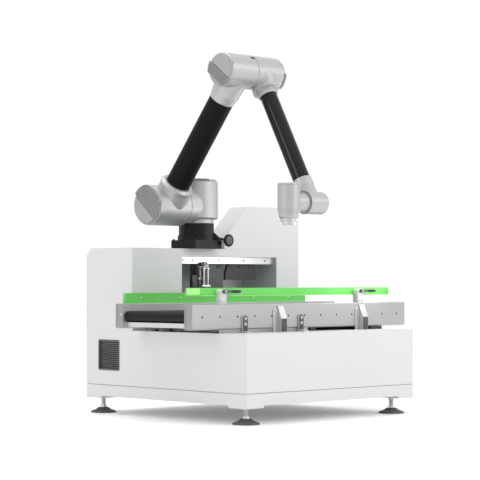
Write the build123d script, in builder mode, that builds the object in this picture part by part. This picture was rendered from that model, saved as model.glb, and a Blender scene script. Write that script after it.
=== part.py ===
from build123d import *
import math
import os

# Robotic case packer: a sheet-metal base with a belt conveyor across it, a rear cabinet with a
# flap-folding bay, and a jointed arm standing on the cabinet's deck.
# Millimetres, +Z up. X runs along the conveyor, Y from the front face to the rear.

# Driving dimensions of the base and cabinet
base_width = 1200
base_depth = 1200
base_bottom_z = 90
seam_z = 150
base_top_z = 430
deck_z = 850
cabinet_front = 830
sheet_bevel = 4

# Driving dimensions of the conveyor
conveyor_length = 1520
channel_front = 200
channel_depth = 56
channel_gap = 455
channel_height = 122
channel_bottom_z = base_top_z + 17
channel_top_z = channel_bottom_z + channel_height
belt_axis_z = channel_bottom_z + 60
roller_radius = 23
belt_thickness = 3

# Driving dimensions of the arm
arm_offset_x = 470
arm_offset_y = 868
shoulder_z = deck_z + 221
upper_arm_rise = 652
forearm_drop = 662
elbow_offset_y = 337
elbow_z = shoulder_z + upper_arm_rise
wrist_forward = 23
wrist_z = elbow_z - forearm_drop
upper_plane_x = 261
forearm_plane_x = 417
tool_plane_x = 264
turret_radius = 114
shoulder_radius = 104
elbow_radius = 85
wrist_radius = 55
tool_head_radius = 55
upper_tube_radius = 63
forearm_tube_radius = 43
joint_gap = 0.5
spigot_clearance = 0.3

# The origin lies under the middle of the whole machine, so the arm's forward reach shifts the base
reach = wrist_forward + tool_head_radius
front_y = (reach - base_depth) / 2
rear_y = front_y + base_depth
middle_y = (front_y + rear_y) / 2
left_x = -base_width / 2
right_x = base_width / 2

os.makedirs("parts", exist_ok=True)


# Base: a tray on corner plates and feet, with the white cabinet on it
plate_size = 120
plate_thickness = 12
seam_depth = 5
seam_height = 3
with BuildPart() as base_tray:
    with BuildSketch(Plane.XY.offset(base_bottom_z)):
        with Locations((0, middle_y)):
            Rectangle(base_width, base_depth)
    extrude(amount=seam_z - seam_height - base_bottom_z)
    chamfer(base_tray.edges().filter_by(Axis.Z), sheet_bevel)
    with BuildSketch(Plane.XY.offset(seam_z - seam_height)):
        with Locations((0, middle_y)):
            Rectangle(base_width - 2 * seam_depth, base_depth - 2 * seam_depth)
    extrude(amount=seam_height)
    with BuildSketch(Plane.XY.offset(base_bottom_z)):
        with Locations((0, middle_y)):
            with GridLocations(base_width - plate_size, base_depth - plate_size, 2, 2):
                Rectangle(plate_size, plate_size)
    extrude(amount=-plate_thickness)
base_tray.part.label = "base_tray"
export_step(base_tray.part, "parts/base_tray.step")

# Feet: threaded stem with a hexagon on a round domed pad, and a jam nut under the corner plate
foot_inset_left = 62
foot_inset_right = 100
foot_inset_y = 65
pad_radius = 65
pad_rim = 8
pad_height = 27
pad_neck_radius = 26
pad_shoulder_radius = 40
pad_shoulder_z = 17
nut_radius = 17
nut_height = 13
jam_nut_height = 7
stem_radius = 11
plate_bottom_z = base_bottom_z - plate_thickness
foot_places = {
    "front_left": (left_x + foot_inset_left, front_y + foot_inset_y),
    "front_right": (right_x - foot_inset_right, front_y + foot_inset_y),
    "rear_left": (left_x + foot_inset_left, rear_y - foot_inset_y),
    "rear_right": (right_x - foot_inset_right, rear_y - foot_inset_y),
}
for place, (foot_x, foot_y) in foot_places.items():
    with BuildPart() as foot_pad:
        with BuildSketch(Plane.XZ):
            with BuildLine():
                Polyline(
                    (0, 0),
                    (pad_radius, 0),
                    (pad_radius, pad_rim),
                    (pad_shoulder_radius, pad_shoulder_z),
                    (pad_neck_radius, pad_height),
                    (0, pad_height),
                    close=True,
                )
            make_face()
        revolve(axis=Axis.Z)
    pad = foot_pad.part.moved(Location((foot_x, foot_y, 0)))
    pad.label = "foot_pad_" + place
    export_step(pad, "parts/foot_pad_" + place + ".step")

    with BuildPart() as foot_stem:
        with BuildSketch(Plane.XY.offset(pad_height)):
            with Locations((foot_x, foot_y)):
                RegularPolygon(nut_radius, 6)
        extrude(amount=nut_height)
        with BuildSketch(Plane.XY.offset(pad_height)):
            with Locations((foot_x, foot_y)):
                Circle(stem_radius)
        extrude(amount=plate_bottom_z - pad_height)
        with BuildSketch(Plane.XY.offset(plate_bottom_z)):
            with Locations((foot_x, foot_y)):
                RegularPolygon(nut_radius, 6, rotation=30)
        extrude(amount=-jam_nut_height)
    foot_stem.part.label = "foot_stem_" + place
    export_step(foot_stem.part, "parts/foot_stem_" + place + ".step")

# The white base cabinet, with a recess for the louvre on its left side
vent_from_front = 1015
vent_width = 168
vent_z = (seam_z + base_top_z) / 2 + 12
vent_height = 156
vent_recess = 14
with BuildPart() as base_cabinet:
    with BuildSketch(Plane.XY.offset(seam_z)):
        with Locations((0, middle_y)):
            Rectangle(base_width, base_depth)
    extrude(amount=base_top_z - seam_z)
    chamfer(base_cabinet.edges().filter_by(Axis.Z), sheet_bevel)
    with BuildSketch(Plane.YZ.offset(left_x)):
        with Locations((front_y + vent_from_front, vent_z)):
            Rectangle(vent_width, vent_height)
    extrude(amount=vent_recess, mode=Mode.SUBTRACT)
base_cabinet.part.label = "base_cabinet"
export_step(base_cabinet.part, "parts/base_cabinet.step")

# Louvre: a thin frame with sloping slats
slat_count = 14
frame_border = 7
slat_pitch = (vent_height - 2 * frame_border) / slat_count
slat_rise = slat_pitch * 0.55
grille_face = left_x - 2
with BuildPart() as vent_grille:
    with BuildSketch(Plane.YZ.offset(grille_face)):
        with Locations((front_y + vent_from_front, vent_z)):
            Rectangle(vent_width - 0.6, vent_height - 0.6)
            Rectangle(vent_width - 2 * frame_border, vent_height - 2 * frame_border, mode=Mode.SUBTRACT)
    extrude(amount=vent_recess + 2 - 0.3)
    slat_left = front_y + vent_from_front - vent_width / 2 + frame_border
    with BuildSketch(Plane.XZ.offset(-slat_left)):
        for slat in range(slat_count):
            slat_bottom = vent_z - vent_height / 2 + frame_border + slat * slat_pitch
            with BuildLine():
                Polyline(
                    (grille_face + 1, slat_bottom),
                    (grille_face + 3, slat_bottom),
                    (left_x + vent_recess - 1, slat_bottom + slat_rise),
                    (left_x + vent_recess - 1, slat_bottom + slat_rise + 2),
                    (grille_face + 1, slat_bottom + 2),
                    close=True,
                )
            make_face()
    extrude(amount=-(vent_width - 2 * frame_border))
vent_grille.part.label = "vent_grille"
export_step(vent_grille.part, "parts/vent_grille.step")

# Upper cabinet: a box over the rear of the base, open in front for the folding bay
bay_left = 335
bay_right = 1025
bay_depth = 260
bay_head = 42
bay_top_z = deck_z - bay_head
rear_chamfer = 35
cabinet_depth = base_depth - cabinet_front
cabinet_y = front_y + cabinet_front + cabinet_depth / 2
bay_width = bay_right - bay_left
bay_x = left_x + (bay_left + bay_right) / 2
with BuildPart() as upper_cabinet:
    with BuildSketch(Plane.XY.offset(base_top_z)):
        with Locations((0, cabinet_y)):
            Rectangle(base_width, cabinet_depth)
    extrude(amount=deck_z - base_top_z)
    chamfer(upper_cabinet.edges().group_by(Axis.Z)[-1].sort_by(Axis.Y)[-1], rear_chamfer)
    chamfer(upper_cabinet.edges().filter_by(Axis.Z).group_by(Axis.Y)[0], sheet_bevel)
    with BuildSketch(Plane.XZ.offset(-(front_y + cabinet_front))):
        with Locations((bay_x, (base_top_z + bay_top_z) / 2)):
            Rectangle(bay_width, bay_top_z - base_top_z)
    extrude(amount=-bay_depth, mode=Mode.SUBTRACT)
upper_cabinet.part.label = "upper_cabinet"
export_step(upper_cabinet.part, "parts/upper_cabinet.step")

# Hood: a shallow raised cover on the cabinet's right, flush in front, with a sloping left end
hood_depth = 136
hood_left = 637
hood_slope_run = 169
hood_slope_height = 55
hood_height = 230
hood_slope_z = deck_z + hood_slope_height
hood_top_z = deck_z + hood_height
with BuildPart() as hood:
    with BuildSketch(Plane.XZ.offset(-(front_y + cabinet_front))):
        with BuildLine():
            Polyline(
                (left_x + hood_left, deck_z),
                (right_x, deck_z),
                (right_x, hood_top_z),
                (left_x + hood_left + hood_slope_run, hood_top_z),
                (left_x + hood_left, hood_slope_z),
                close=True,
            )
        make_face()
    extrude(amount=-hood_depth)
    chamfer(hood.edges().filter_by(Axis.Z).group_by(Axis.X)[-1], sheet_bevel)
hood.part.label = "hood"
export_step(hood.part, "parts/hood.step")

# Folding bay: a stainless beam across its top carries two flap plates and their cylinder
beam_height = 36
beam_depth = 40
beam_setback = 24
beam_front_y = front_y + cabinet_front + beam_setback
beam_bottom_z = bay_top_z - beam_height
with BuildPart() as cross_beam:
    with BuildSketch(Plane.XY.offset(beam_bottom_z)):
        with Locations((bay_x, beam_front_y + beam_depth / 2)):
            Rectangle(bay_width, beam_depth)
    extrude(amount=beam_height)
cross_beam.part.label = "cross_beam"
export_step(cross_beam.part, "parts/cross_beam.step")

flap_gap = 14
flap_width = 225
left_flap_height = 150
right_flap_height = 85
flap_thickness = 14
flap_curve = 22
flap_middle_offset = 681
flap_middle = left_x + flap_middle_offset
flap_y = beam_front_y + beam_depth - flap_thickness
for side, sign, flap_height in (("left", -1, left_flap_height), ("right", 1, right_flap_height)):
    inner = flap_middle + sign * flap_gap / 2
    outer = inner + sign * flap_width
    with BuildPart() as flap_plate:
        with BuildSketch(Plane.XZ.offset(-flap_y)):
            with BuildLine():
                top_inner = (inner + sign * flap_curve, beam_bottom_z)
                middle_inner = (inner + sign * flap_curve * 0.25, beam_bottom_z - flap_height * 0.5)
                bottom_inner = (inner, beam_bottom_z - flap_height)
                ThreePointArc(top_inner, middle_inner, bottom_inner)
                bottom_outer = (outer, beam_bottom_z - flap_height)
                top_outer = (outer, beam_bottom_z)
                Polyline(bottom_inner, bottom_outer, top_outer, top_inner)
            make_face()
        extrude(amount=-flap_thickness)
    flap_plate.part.label = "flap_plate_" + side
    export_step(flap_plate.part, "parts/flap_plate_" + side + ".step")

cylinder_offset = 510
cylinder_x = left_x + cylinder_offset
cylinder_width = 74
cylinder_depth = 24
cylinder_body = 84
cylinder_ear = 12
rod_radius = 6
rod_spacing = 36
rod_length = 60
rod_plate = 10
cylinder_y = beam_front_y + cylinder_depth / 2
with BuildPart() as flap_cylinder:
    with BuildSketch(Plane.XY.offset(beam_bottom_z)):
        with Locations((cylinder_x, cylinder_y)):
            Rectangle(cylinder_width, cylinder_depth)
            with GridLocations(cylinder_width, 1, 2, 1):
                Rectangle(cylinder_ear, cylinder_depth / 3, mode=Mode.SUBTRACT)
    extrude(amount=-cylinder_body)
    with BuildSketch(Plane.XY.offset(beam_bottom_z - cylinder_body)):
        with Locations((cylinder_x, cylinder_y)):
            with GridLocations(rod_spacing, 1, 2, 1):
                Circle(rod_radius)
    extrude(amount=-rod_length)
    with BuildSketch(Plane.XY.offset(beam_bottom_z - cylinder_body - rod_length)):
        with Locations((cylinder_x, cylinder_y)):
            Rectangle(cylinder_width, cylinder_depth)
    extrude(amount=-rod_plate)
flap_cylinder.part.label = "flap_cylinder"
export_step(flap_cylinder.part, "parts/flap_cylinder.step")


# Conveyor: two side channels with the belt, its bed and rollers between them
channel_middle_z = (channel_top_z + channel_bottom_z) / 2
channel_radius = 9
channel_bevel = 2
hole_count = 13
hole_depth = 10
hole_pitch = 116
hole_radius = 5
hole_drop = 60
hole_z = channel_top_z - hole_drop
shaft_radius = 10
front_channel_y = front_y + channel_front
inner_front_y = front_channel_y + channel_depth
inner_rear_y = inner_front_y + channel_gap
roller_setback = 34
roller_x = conveyor_length / 2 - roller_setback
shaft_depth = 12
for side, outer_y, sign in (("front", front_channel_y, 1), ("rear", inner_rear_y + channel_depth, -1)):
    with BuildPart() as channel:
        with BuildSketch(Plane.YZ):
            with Locations((outer_y + sign * channel_depth / 2, channel_middle_z)):
                Rectangle(channel_depth, channel_height)
        extrude(amount=conveyor_length / 2, both=True)
        lower = channel.edges().filter_by(Axis.X).group_by(Axis.Z)[0]
        fillet(lower, channel_radius)
        chamfer(channel.edges().group_by(Axis.Z)[-1].filter_by(Axis.X), channel_bevel)
        if side == "front":
            with BuildSketch(Plane.XZ.offset(-outer_y)):
                with Locations((0, hole_z)):
                    with GridLocations(hole_pitch, 1, hole_count, 1):
                        Circle(hole_radius)
            extrude(amount=-hole_depth, mode=Mode.SUBTRACT)
        with BuildSketch(Plane.XZ.offset(-(outer_y + sign * channel_depth))):
            with Locations((0, belt_axis_z)):
                with GridLocations(2 * roller_x, 1, 2, 1):
                    Circle(shaft_radius + spigot_clearance)
        extrude(amount=sign * (shaft_depth + 1), mode=Mode.SUBTRACT)
    channel.part.label = side + "_channel"
    export_step(channel.part, "parts/" + side + "_channel.step")

belt_width = channel_gap - 8
belt_middle_y = (inner_front_y + inner_rear_y) / 2
belt_radius = roller_radius + belt_thickness
with BuildPart() as belt:
    with BuildSketch(Plane.XZ.offset(-(belt_middle_y - belt_width / 2))):
        with Locations((0, belt_axis_z)):
            SlotCenterToCenter(2 * roller_x, 2 * belt_radius)
            SlotCenterToCenter(2 * roller_x, 2 * roller_radius, mode=Mode.SUBTRACT)
    extrude(amount=-belt_width)
belt.part.label = "belt"
export_step(belt.part, "parts/belt.step")

bed_end_gap = 12
bed_length = 2 * (roller_x - roller_radius - bed_end_gap)
bed_height = 2 * roller_radius
with BuildPart() as slider_bed:
    with BuildSketch(Plane.XY.offset(belt_axis_z - roller_radius)):
        with Locations((0, belt_middle_y)):
            Rectangle(bed_length, channel_gap)
    extrude(amount=bed_height)
slider_bed.part.label = "slider_bed"
export_step(slider_bed.part, "parts/slider_bed.step")

for side, sign in (("left", -1), ("right", 1)):
    with BuildPart() as end_roller:
        with BuildSketch(Plane.XZ.offset(-(belt_middle_y - belt_width / 2))):
            with Locations((sign * roller_x, belt_axis_z)):
                Circle(roller_radius - spigot_clearance)
        extrude(amount=-belt_width)
        with BuildSketch(Plane.XZ.offset(-(inner_front_y - shaft_depth))):
            with Locations((sign * roller_x, belt_axis_z)):
                Circle(shaft_radius)
        extrude(amount=-(channel_gap + 2 * shaft_depth))
    end_roller.part.label = side + "_end_roller"
    export_step(end_roller.part, "parts/" + side + "_end_roller.step")

# Return tray under the belt, folded up at both ends
tray_rise = 8
tray_bottom_z = channel_bottom_z + tray_rise
tray_thickness = 3
tray_lip = belt_axis_z - belt_radius - 3 - tray_bottom_z
tray_setback = 20
tray_length = conveyor_length - 2 * tray_setback
with BuildPart() as return_tray:
    with BuildSketch(Plane.XZ.offset(-inner_front_y)):
        with BuildLine():
            half = tray_length / 2
            Polyline(
                (-half, tray_bottom_z),
                (half, tray_bottom_z),
                (half, tray_bottom_z + tray_lip),
                (half - tray_thickness, tray_bottom_z + tray_lip),
                (half - tray_thickness, tray_bottom_z + tray_thickness),
                (-half + tray_thickness, tray_bottom_z + tray_thickness),
                (-half + tray_thickness, tray_bottom_z + tray_lip),
                (-half, tray_bottom_z + tray_lip),
                close=True,
            )
        make_face()
    extrude(amount=-channel_gap)
return_tray.part.label = "return_tray"
export_step(return_tray.part, "parts/return_tray.step")

# Slotted profile beams between the base top and the channels
beam_width = 45
beam_start = 206
beam_end = 758
beam_places = {"left": 170, "middle": 610, "right": 1040}
for place, offset_x in beam_places.items():
    with BuildPart() as support_beam:
        with BuildSketch(Plane.XZ.offset(-(front_y + beam_start))):
            with Locations((left_x + offset_x, (base_top_z + channel_bottom_z) / 2)):
                Rectangle(beam_width, channel_bottom_z - base_top_z)
        extrude(amount=-(beam_end - beam_start))
        with BuildSketch(Plane.XZ.offset(-(front_y + beam_start))):
            with Locations((left_x + offset_x, (base_top_z + channel_bottom_z) / 2)):
                with GridLocations(beam_width, 1, 2, 1):
                    Rectangle(12, 8)
        extrude(amount=-(beam_end - beam_start), mode=Mode.SUBTRACT)
    support_beam.part.label = "support_beam_" + place
    export_step(support_beam.part, "parts/support_beam_" + place + ".step")

# Slotted tabs: round-topped bars bolted to the front channel, with a foot on the base
tab_width = 38
tab_thickness = 8
tab_top_z = channel_top_z - 51
tab_foot = 34
tab_foot_thickness = 6
slot_length = 20
slot_width = 9
upper_slot_drop = 20
lower_slot_drop = 46
tab_places = {"left": 180, "right": 568}
for place, offset_x in tab_places.items():
    tab_x = left_x + offset_x
    with BuildPart() as slotted_tab:
        with BuildSketch(Plane.XZ.offset(-(front_channel_y - tab_thickness))):
            with Locations((tab_x, (base_top_z + tab_top_z - tab_width / 2) / 2)):
                Rectangle(tab_width, tab_top_z - tab_width / 2 - base_top_z)
            with Locations((tab_x, tab_top_z - tab_width / 2)):
                Circle(tab_width / 2)
            with Locations((tab_x, tab_top_z - upper_slot_drop), (tab_x, tab_top_z - lower_slot_drop)):
                SlotOverall(slot_length, slot_width, rotation=90, mode=Mode.SUBTRACT)
        extrude(amount=-tab_thickness)
        with BuildSketch(Plane.XY.offset(base_top_z)):
            with Locations((tab_x, front_channel_y - tab_thickness - tab_foot / 2)):
                Rectangle(tab_width, tab_foot)
        extrude(amount=tab_foot_thickness)
    slotted_tab.part.label = "slotted_tab_" + place
    export_step(slotted_tab.part, "parts/slotted_tab_" + place + ".step")

# Gusset brackets: a round-topped back plate with a sloping channel in front of it
gusset_width = 40
gusset_depth = 30
gusset_front_z = channel_top_z - 72
gusset_top_z = channel_top_z - 11
gusset_wall = 4
ear_width = 30
ear_top_z = gusset_top_z - 10
gusset_places = {"left": 405, "right": 1000}
for place, offset_x in gusset_places.items():
    gusset_left = left_x + offset_x
    with BuildPart() as gusset_bracket:
        with BuildSketch(Plane.XZ.offset(-(front_channel_y - gusset_wall))):
            with Locations((gusset_left - ear_width / 2, (base_top_z + ear_top_z - ear_width / 2) / 2)):
                Rectangle(ear_width, ear_top_z - ear_width / 2 - base_top_z)
            with Locations((gusset_left - ear_width / 2, ear_top_z - ear_width / 2)):
                Circle(ear_width / 2)
            with Locations((gusset_left + gusset_width / 2, (base_top_z + gusset_top_z) / 2)):
                Rectangle(gusset_width, gusset_top_z - base_top_z)
        extrude(amount=-gusset_wall)
        with BuildSketch(Plane.YZ.offset(gusset_left)):
            with BuildLine():
                Polyline(
                    (front_channel_y - gusset_wall, base_top_z),
                    (front_channel_y - gusset_wall, gusset_top_z),
                    (front_channel_y - gusset_depth, gusset_front_z),
                    (front_channel_y - gusset_depth, base_top_z),
                    close=True,
                )
            make_face()
        extrude(amount=gusset_width)
        with BuildSketch(Plane.XZ.offset(-(front_channel_y - gusset_depth))):
            with Locations((gusset_left + gusset_width / 2, (base_top_z + gusset_front_z) / 2)):
                Rectangle(gusset_width - 2 * gusset_wall, gusset_front_z - base_top_z - 6 * gusset_wall)
        extrude(amount=-gusset_wall / 2, mode=Mode.SUBTRACT)
    gusset_bracket.part.label = "gusset_bracket_" + place
    export_step(gusset_bracket.part, "parts/gusset_bracket_" + place + ".step")


# Guide rails: the front one stands on two clamp brackets, the rear one on the rear channel
rail_y = inner_front_y + 2
rail_height = 39
rail_bottom_z = channel_top_z + 40
rail_top_z = rail_bottom_z + rail_height
rail_thickness = 3
rail_lip = 9
rail_left = -conveyor_length / 2 + 100
rail_right = conveyor_length / 2 - 66
flare_length = 98
flare_out = 10
with BuildPart() as front_guide_rail:
    with BuildSketch(Plane.XY.offset(rail_bottom_z)):
        with BuildLine() as rail_run:
            Polyline(
                (rail_right, rail_y),
                (rail_left, rail_y),
                (rail_left - flare_length, rail_y - flare_out),
            )
            offset(amount=rail_thickness, side=Side.RIGHT)
        make_face()
    extrude(amount=rail_height)
    with BuildSketch(Plane.XY.offset(rail_bottom_z)):
        with BuildLine():
            Polyline(
                (rail_right, rail_y),
                (rail_left, rail_y),
                (rail_left - flare_length, rail_y - flare_out),
                (rail_left - flare_length, rail_y - flare_out - rail_lip),
                (rail_left, rail_y - rail_lip),
                (rail_right, rail_y - rail_lip),
                close=True,
            )
        make_face()
    extrude(amount=rail_thickness)
front_guide_rail.part.label = "front_guide_rail"
export_step(front_guide_rail.part, "parts/front_guide_rail.step")

rear_rail_depth = 20
rear_rail_height = 52
rear_rail_left = -conveyor_length / 2 + 38
rear_rail_right = conveyor_length / 2 - 210
rear_rail_wall = 3
rear_rail_setback = 24
rear_rail_y = inner_rear_y + rear_rail_setback + rear_rail_depth / 2
rear_rail_z = channel_top_z + rear_rail_height / 2
with BuildPart() as rear_guide_rail:
    with BuildSketch(Plane.YZ.offset(rear_rail_left)):
        with Locations((rear_rail_y, rear_rail_z)):
            Rectangle(rear_rail_depth, rear_rail_height)
        with Locations((rear_rail_y + rear_rail_wall, rear_rail_z)):
            Rectangle(rear_rail_depth, rear_rail_height - 2 * rear_rail_wall, mode=Mode.SUBTRACT)
    extrude(amount=rear_rail_right - rear_rail_left)
rear_guide_rail.part.label = "rear_guide_rail"
export_step(rear_guide_rail.part, "parts/rear_guide_rail.step")

bracket_width = 40
bracket_depth = 34
bracket_top_z = rail_top_z - 6
bracket_corner = 8
bracket_places = {"left": -conveyor_length / 2 + 225, "right": conveyor_length / 2 - 320}
lever_length = 96
lever_thickness = 13
lever_z = rail_bottom_z + 21
for place, bracket_x in bracket_places.items():
    with BuildPart() as rail_bracket:
        with BuildSketch(Plane.XY.offset(channel_top_z)):
            with Locations((bracket_x, rail_y - bracket_depth / 2)):
                Rectangle(bracket_width, bracket_depth)
        extrude(amount=bracket_top_z - channel_top_z)
        chamfer(rail_bracket.edges().filter_by(Axis.Y).group_by(Axis.Z)[-1], bracket_corner)
        with BuildSketch(Plane.XY.offset(rail_bottom_z)):
            with Locations((bracket_x, rail_y - rail_lip / 2)):
                Rectangle(2 * bracket_width, rail_lip)
        extrude(amount=rail_thickness, mode=Mode.SUBTRACT)
    rail_bracket.part.label = "rail_bracket_" + place
    export_step(rail_bracket.part, "parts/rail_bracket_" + place + ".step")

    with BuildPart() as clamp_lever:
        with BuildSketch(Plane.XZ.offset(-(rail_y - bracket_depth))):
            with Locations((bracket_x, lever_z)):
                Circle(9)
        extrude(amount=16)
        with BuildSketch(Plane.XZ.offset(-(rail_y - bracket_depth - 4))):
            with Locations((bracket_x + lever_length / 2, lever_z)):
                SlotOverall(lever_length + 18, lever_thickness)
        extrude(amount=10)
    clamp_lever.part.label = "clamp_lever_" + place
    export_step(clamp_lever.part, "parts/clamp_lever_" + place + ".step")


# Arm base: square plate, then a flange and black drum with a sloping lug towards the plate's corner
arm_x = left_x + arm_offset_x
arm_y = front_y + arm_offset_y
arm_plate_size = 190
arm_plate_height = 45
flange_radius = 99
flange_height = 24
drum_radius = 92.5
drum_height = 86
arm_plate_top = deck_z + arm_plate_height
drum_top_z = arm_plate_top + drum_height
with BuildPart() as arm_base_plate:
    with BuildSketch(Plane.XY.offset(deck_z)):
        with Locations((arm_x, arm_y)):
            Rectangle(arm_plate_size, arm_plate_size)
    extrude(amount=arm_plate_height)
    chamfer(arm_base_plate.edges().filter_by(Axis.Z), 3)
arm_base_plate.part.label = "arm_base_plate"
export_step(arm_base_plate.part, "parts/arm_base_plate.step")

lug_reach = arm_plate_size / math.sqrt(2) - 14
lug_width = 26
lug_height = 42
lug_tip_height = 16
lug_plane = Plane(origin=(arm_x, arm_y, arm_plate_top), x_dir=(1, -1, 0), z_dir=(-1, -1, 0))
with BuildPart() as arm_base:
    with BuildSketch(Plane.XY.offset(arm_plate_top)):
        with Locations((arm_x, arm_y)):
            Circle(flange_radius)
    extrude(amount=flange_height)
    with BuildSketch(Plane.XY.offset(arm_plate_top + flange_height)):
        with Locations((arm_x, arm_y)):
            Circle(drum_radius)
    extrude(amount=drum_height - flange_height)
    with BuildSketch(lug_plane):
        with BuildLine():
            Polyline(
                (drum_radius - 4, 0),
                (lug_reach, 0),
                (lug_reach, lug_tip_height),
                (drum_radius, lug_height),
                (drum_radius - 4, lug_height),
                close=True,
            )
        make_face()
    extrude(amount=lug_width / 2, both=True)
arm_base.part.label = "arm_base"
export_step(arm_base.part, "parts/arm_base.step")

# Lock knob: a short sloping stem from the lug to a round disc that faces the front
knob_offset = arm_plate_size / 2 + 22
knob_radius = 33
knob_thickness = 14
knob_bevel = 4
knob_stem_radius = 6
knob_centre = Vector(arm_x + knob_offset, arm_y - knob_offset, arm_plate_top - 1)
stem_offset = lug_reach / math.sqrt(2)
stem_start = Vector(arm_x + stem_offset, arm_y - stem_offset, arm_plate_top + lug_tip_height * 0.6)
stem_vector = knob_centre - stem_start
stem_plane = Plane(origin=stem_start, z_dir=stem_vector)
with BuildPart() as lock_knob:
    with BuildSketch(Plane(origin=knob_centre, x_dir=(1, 0, 0), z_dir=(0, -1, 0))):
        Circle(knob_radius)
    extrude(amount=knob_thickness)
    chamfer(lock_knob.edges(), knob_bevel)
    with BuildSketch(stem_plane):
        Circle(knob_stem_radius)
    extrude(amount=stem_vector.length)
    with BuildSketch(Plane(origin=knob_centre, x_dir=(1, 0, 0), z_dir=(0, -1, 0))):
        Circle(knob_stem_radius + 4)
    extrude(amount=-knob_stem_radius)
    with BuildSketch(Plane(origin=stem_start, x_dir=(1, 1, 0), z_dir=(-1, 1, 0))):
        Rectangle(2 * lug_reach, 2 * lug_reach)
    extrude(amount=knob_stem_radius + 4, mode=Mode.SUBTRACT)
lock_knob.part.label = "lock_knob"
export_step(lock_knob.part, "parts/lock_knob.step")

# Turret: upright joint housing on a neck, with a short branch towards the shoulder
neck_radius = 91
neck_top_z = drum_top_z + 23
turret_bevel = 8
turret_top_z = shoulder_z + 129
shoulder_seam = 350
spigot_length = 20
spigot_share = 0.6
with BuildPart() as turret:
    with BuildSketch(Plane.XY.offset(drum_top_z + joint_gap)):
        with Locations((arm_x, arm_y)):
            Circle(neck_radius)
    extrude(amount=neck_top_z - drum_top_z - joint_gap)
    with BuildSketch(Plane.XY.offset(neck_top_z)):
        with Locations((arm_x, arm_y)):
            Circle(turret_radius - turret_bevel)
    extrude(amount=turret_bevel, taper=-45)
    with BuildSketch(Plane.XY.offset(neck_top_z + turret_bevel)):
        with Locations((arm_x, arm_y)):
            Circle(turret_radius)
    extrude(amount=turret_top_z - neck_top_z - turret_bevel)
    with BuildSketch(Plane.YZ.offset(left_x + shoulder_seam)):
        with Locations((arm_y, shoulder_z)):
            Circle(shoulder_radius)
    extrude(amount=arm_x - left_x - shoulder_seam)
    with BuildSketch(Plane.XY.offset(drum_top_z + joint_gap)):
        with Locations((arm_x, arm_y)):
            Rectangle(4 * turret_radius, 4 * turret_radius)
    extrude(amount=-shoulder_radius, mode=Mode.SUBTRACT)
    with BuildSketch(Plane.YZ.offset(left_x + shoulder_seam)):
        with Locations((arm_y, shoulder_z)):
            Circle(shoulder_radius * spigot_share)
    extrude(amount=-spigot_length)
turret.part.label = "turret"
export_step(turret.part, "parts/turret.step")

# Upper arm: shoulder housing with a tapered branch and a wide bevelled collar, black tube, and elbow
# housing with a tapered sleeve
shoulder_end = 134
housing_bevel = 5
elbow_y = front_y + elbow_offset_y
upper_dy = elbow_y - arm_y
upper_dz = elbow_z - shoulder_z
upper_length = math.hypot(upper_dy, upper_dz)
upper_direction = (0, upper_dy / upper_length, upper_dz / upper_length)
upper_x = left_x + upper_plane_x
shoulder_centre = (upper_x, arm_y, shoulder_z)
upper_plane = Plane(origin=shoulder_centre, x_dir=(1, 0, 0), z_dir=upper_direction)
upper_branch = 145
upper_collar = 32
upper_collar_radius = 88
upper_collar_bevel = 12
upper_branch_radius = 85
upper_root_radius = 99
upper_tube_end = 172
with BuildPart() as shoulder_housing:
    with BuildSketch(Plane.YZ.offset(left_x + shoulder_end)):
        with Locations((arm_y, shoulder_z)):
            Circle(shoulder_radius)
    extrude(amount=shoulder_seam - joint_gap - shoulder_end)
    chamfer(shoulder_housing.edges().group_by(Axis.X)[0], housing_bevel)
    with BuildSketch(upper_plane):
        Circle(upper_root_radius)
    with BuildSketch(upper_plane.offset(upper_branch - upper_collar)):
        Circle(upper_branch_radius)
    loft(ruled=True)
    with BuildSketch(upper_plane.offset(upper_branch - upper_collar)):
        Circle(upper_collar_radius)
    extrude(amount=upper_collar)
    upper_axis = Axis(shoulder_centre, upper_direction)
    chamfer(shoulder_housing.edges().group_by(upper_axis)[-1], upper_collar_bevel)
    with BuildSketch(Plane.YZ.offset(left_x + shoulder_seam - joint_gap)):
        with Locations((arm_y, shoulder_z)):
            Rectangle(4 * shoulder_radius, 4 * shoulder_radius)
    extrude(amount=shoulder_radius, mode=Mode.SUBTRACT)
    with BuildSketch(Plane.YZ.offset(left_x + shoulder_seam - joint_gap)):
        with Locations((arm_y, shoulder_z)):
            Circle(shoulder_radius * spigot_share + spigot_clearance)
    extrude(amount=-(spigot_length + 1), mode=Mode.SUBTRACT)
shoulder_housing.part.label = "shoulder_housing"
export_step(shoulder_housing.part, "parts/shoulder_housing.step")

with BuildPart() as upper_arm_tube:
    with BuildSketch(upper_plane.offset(upper_branch)):
        Circle(upper_tube_radius)
    extrude(amount=upper_length - upper_branch - upper_tube_end)
upper_arm_tube.part.label = "upper_arm_tube"
export_step(upper_arm_tube.part, "parts/upper_arm_tube.step")

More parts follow.
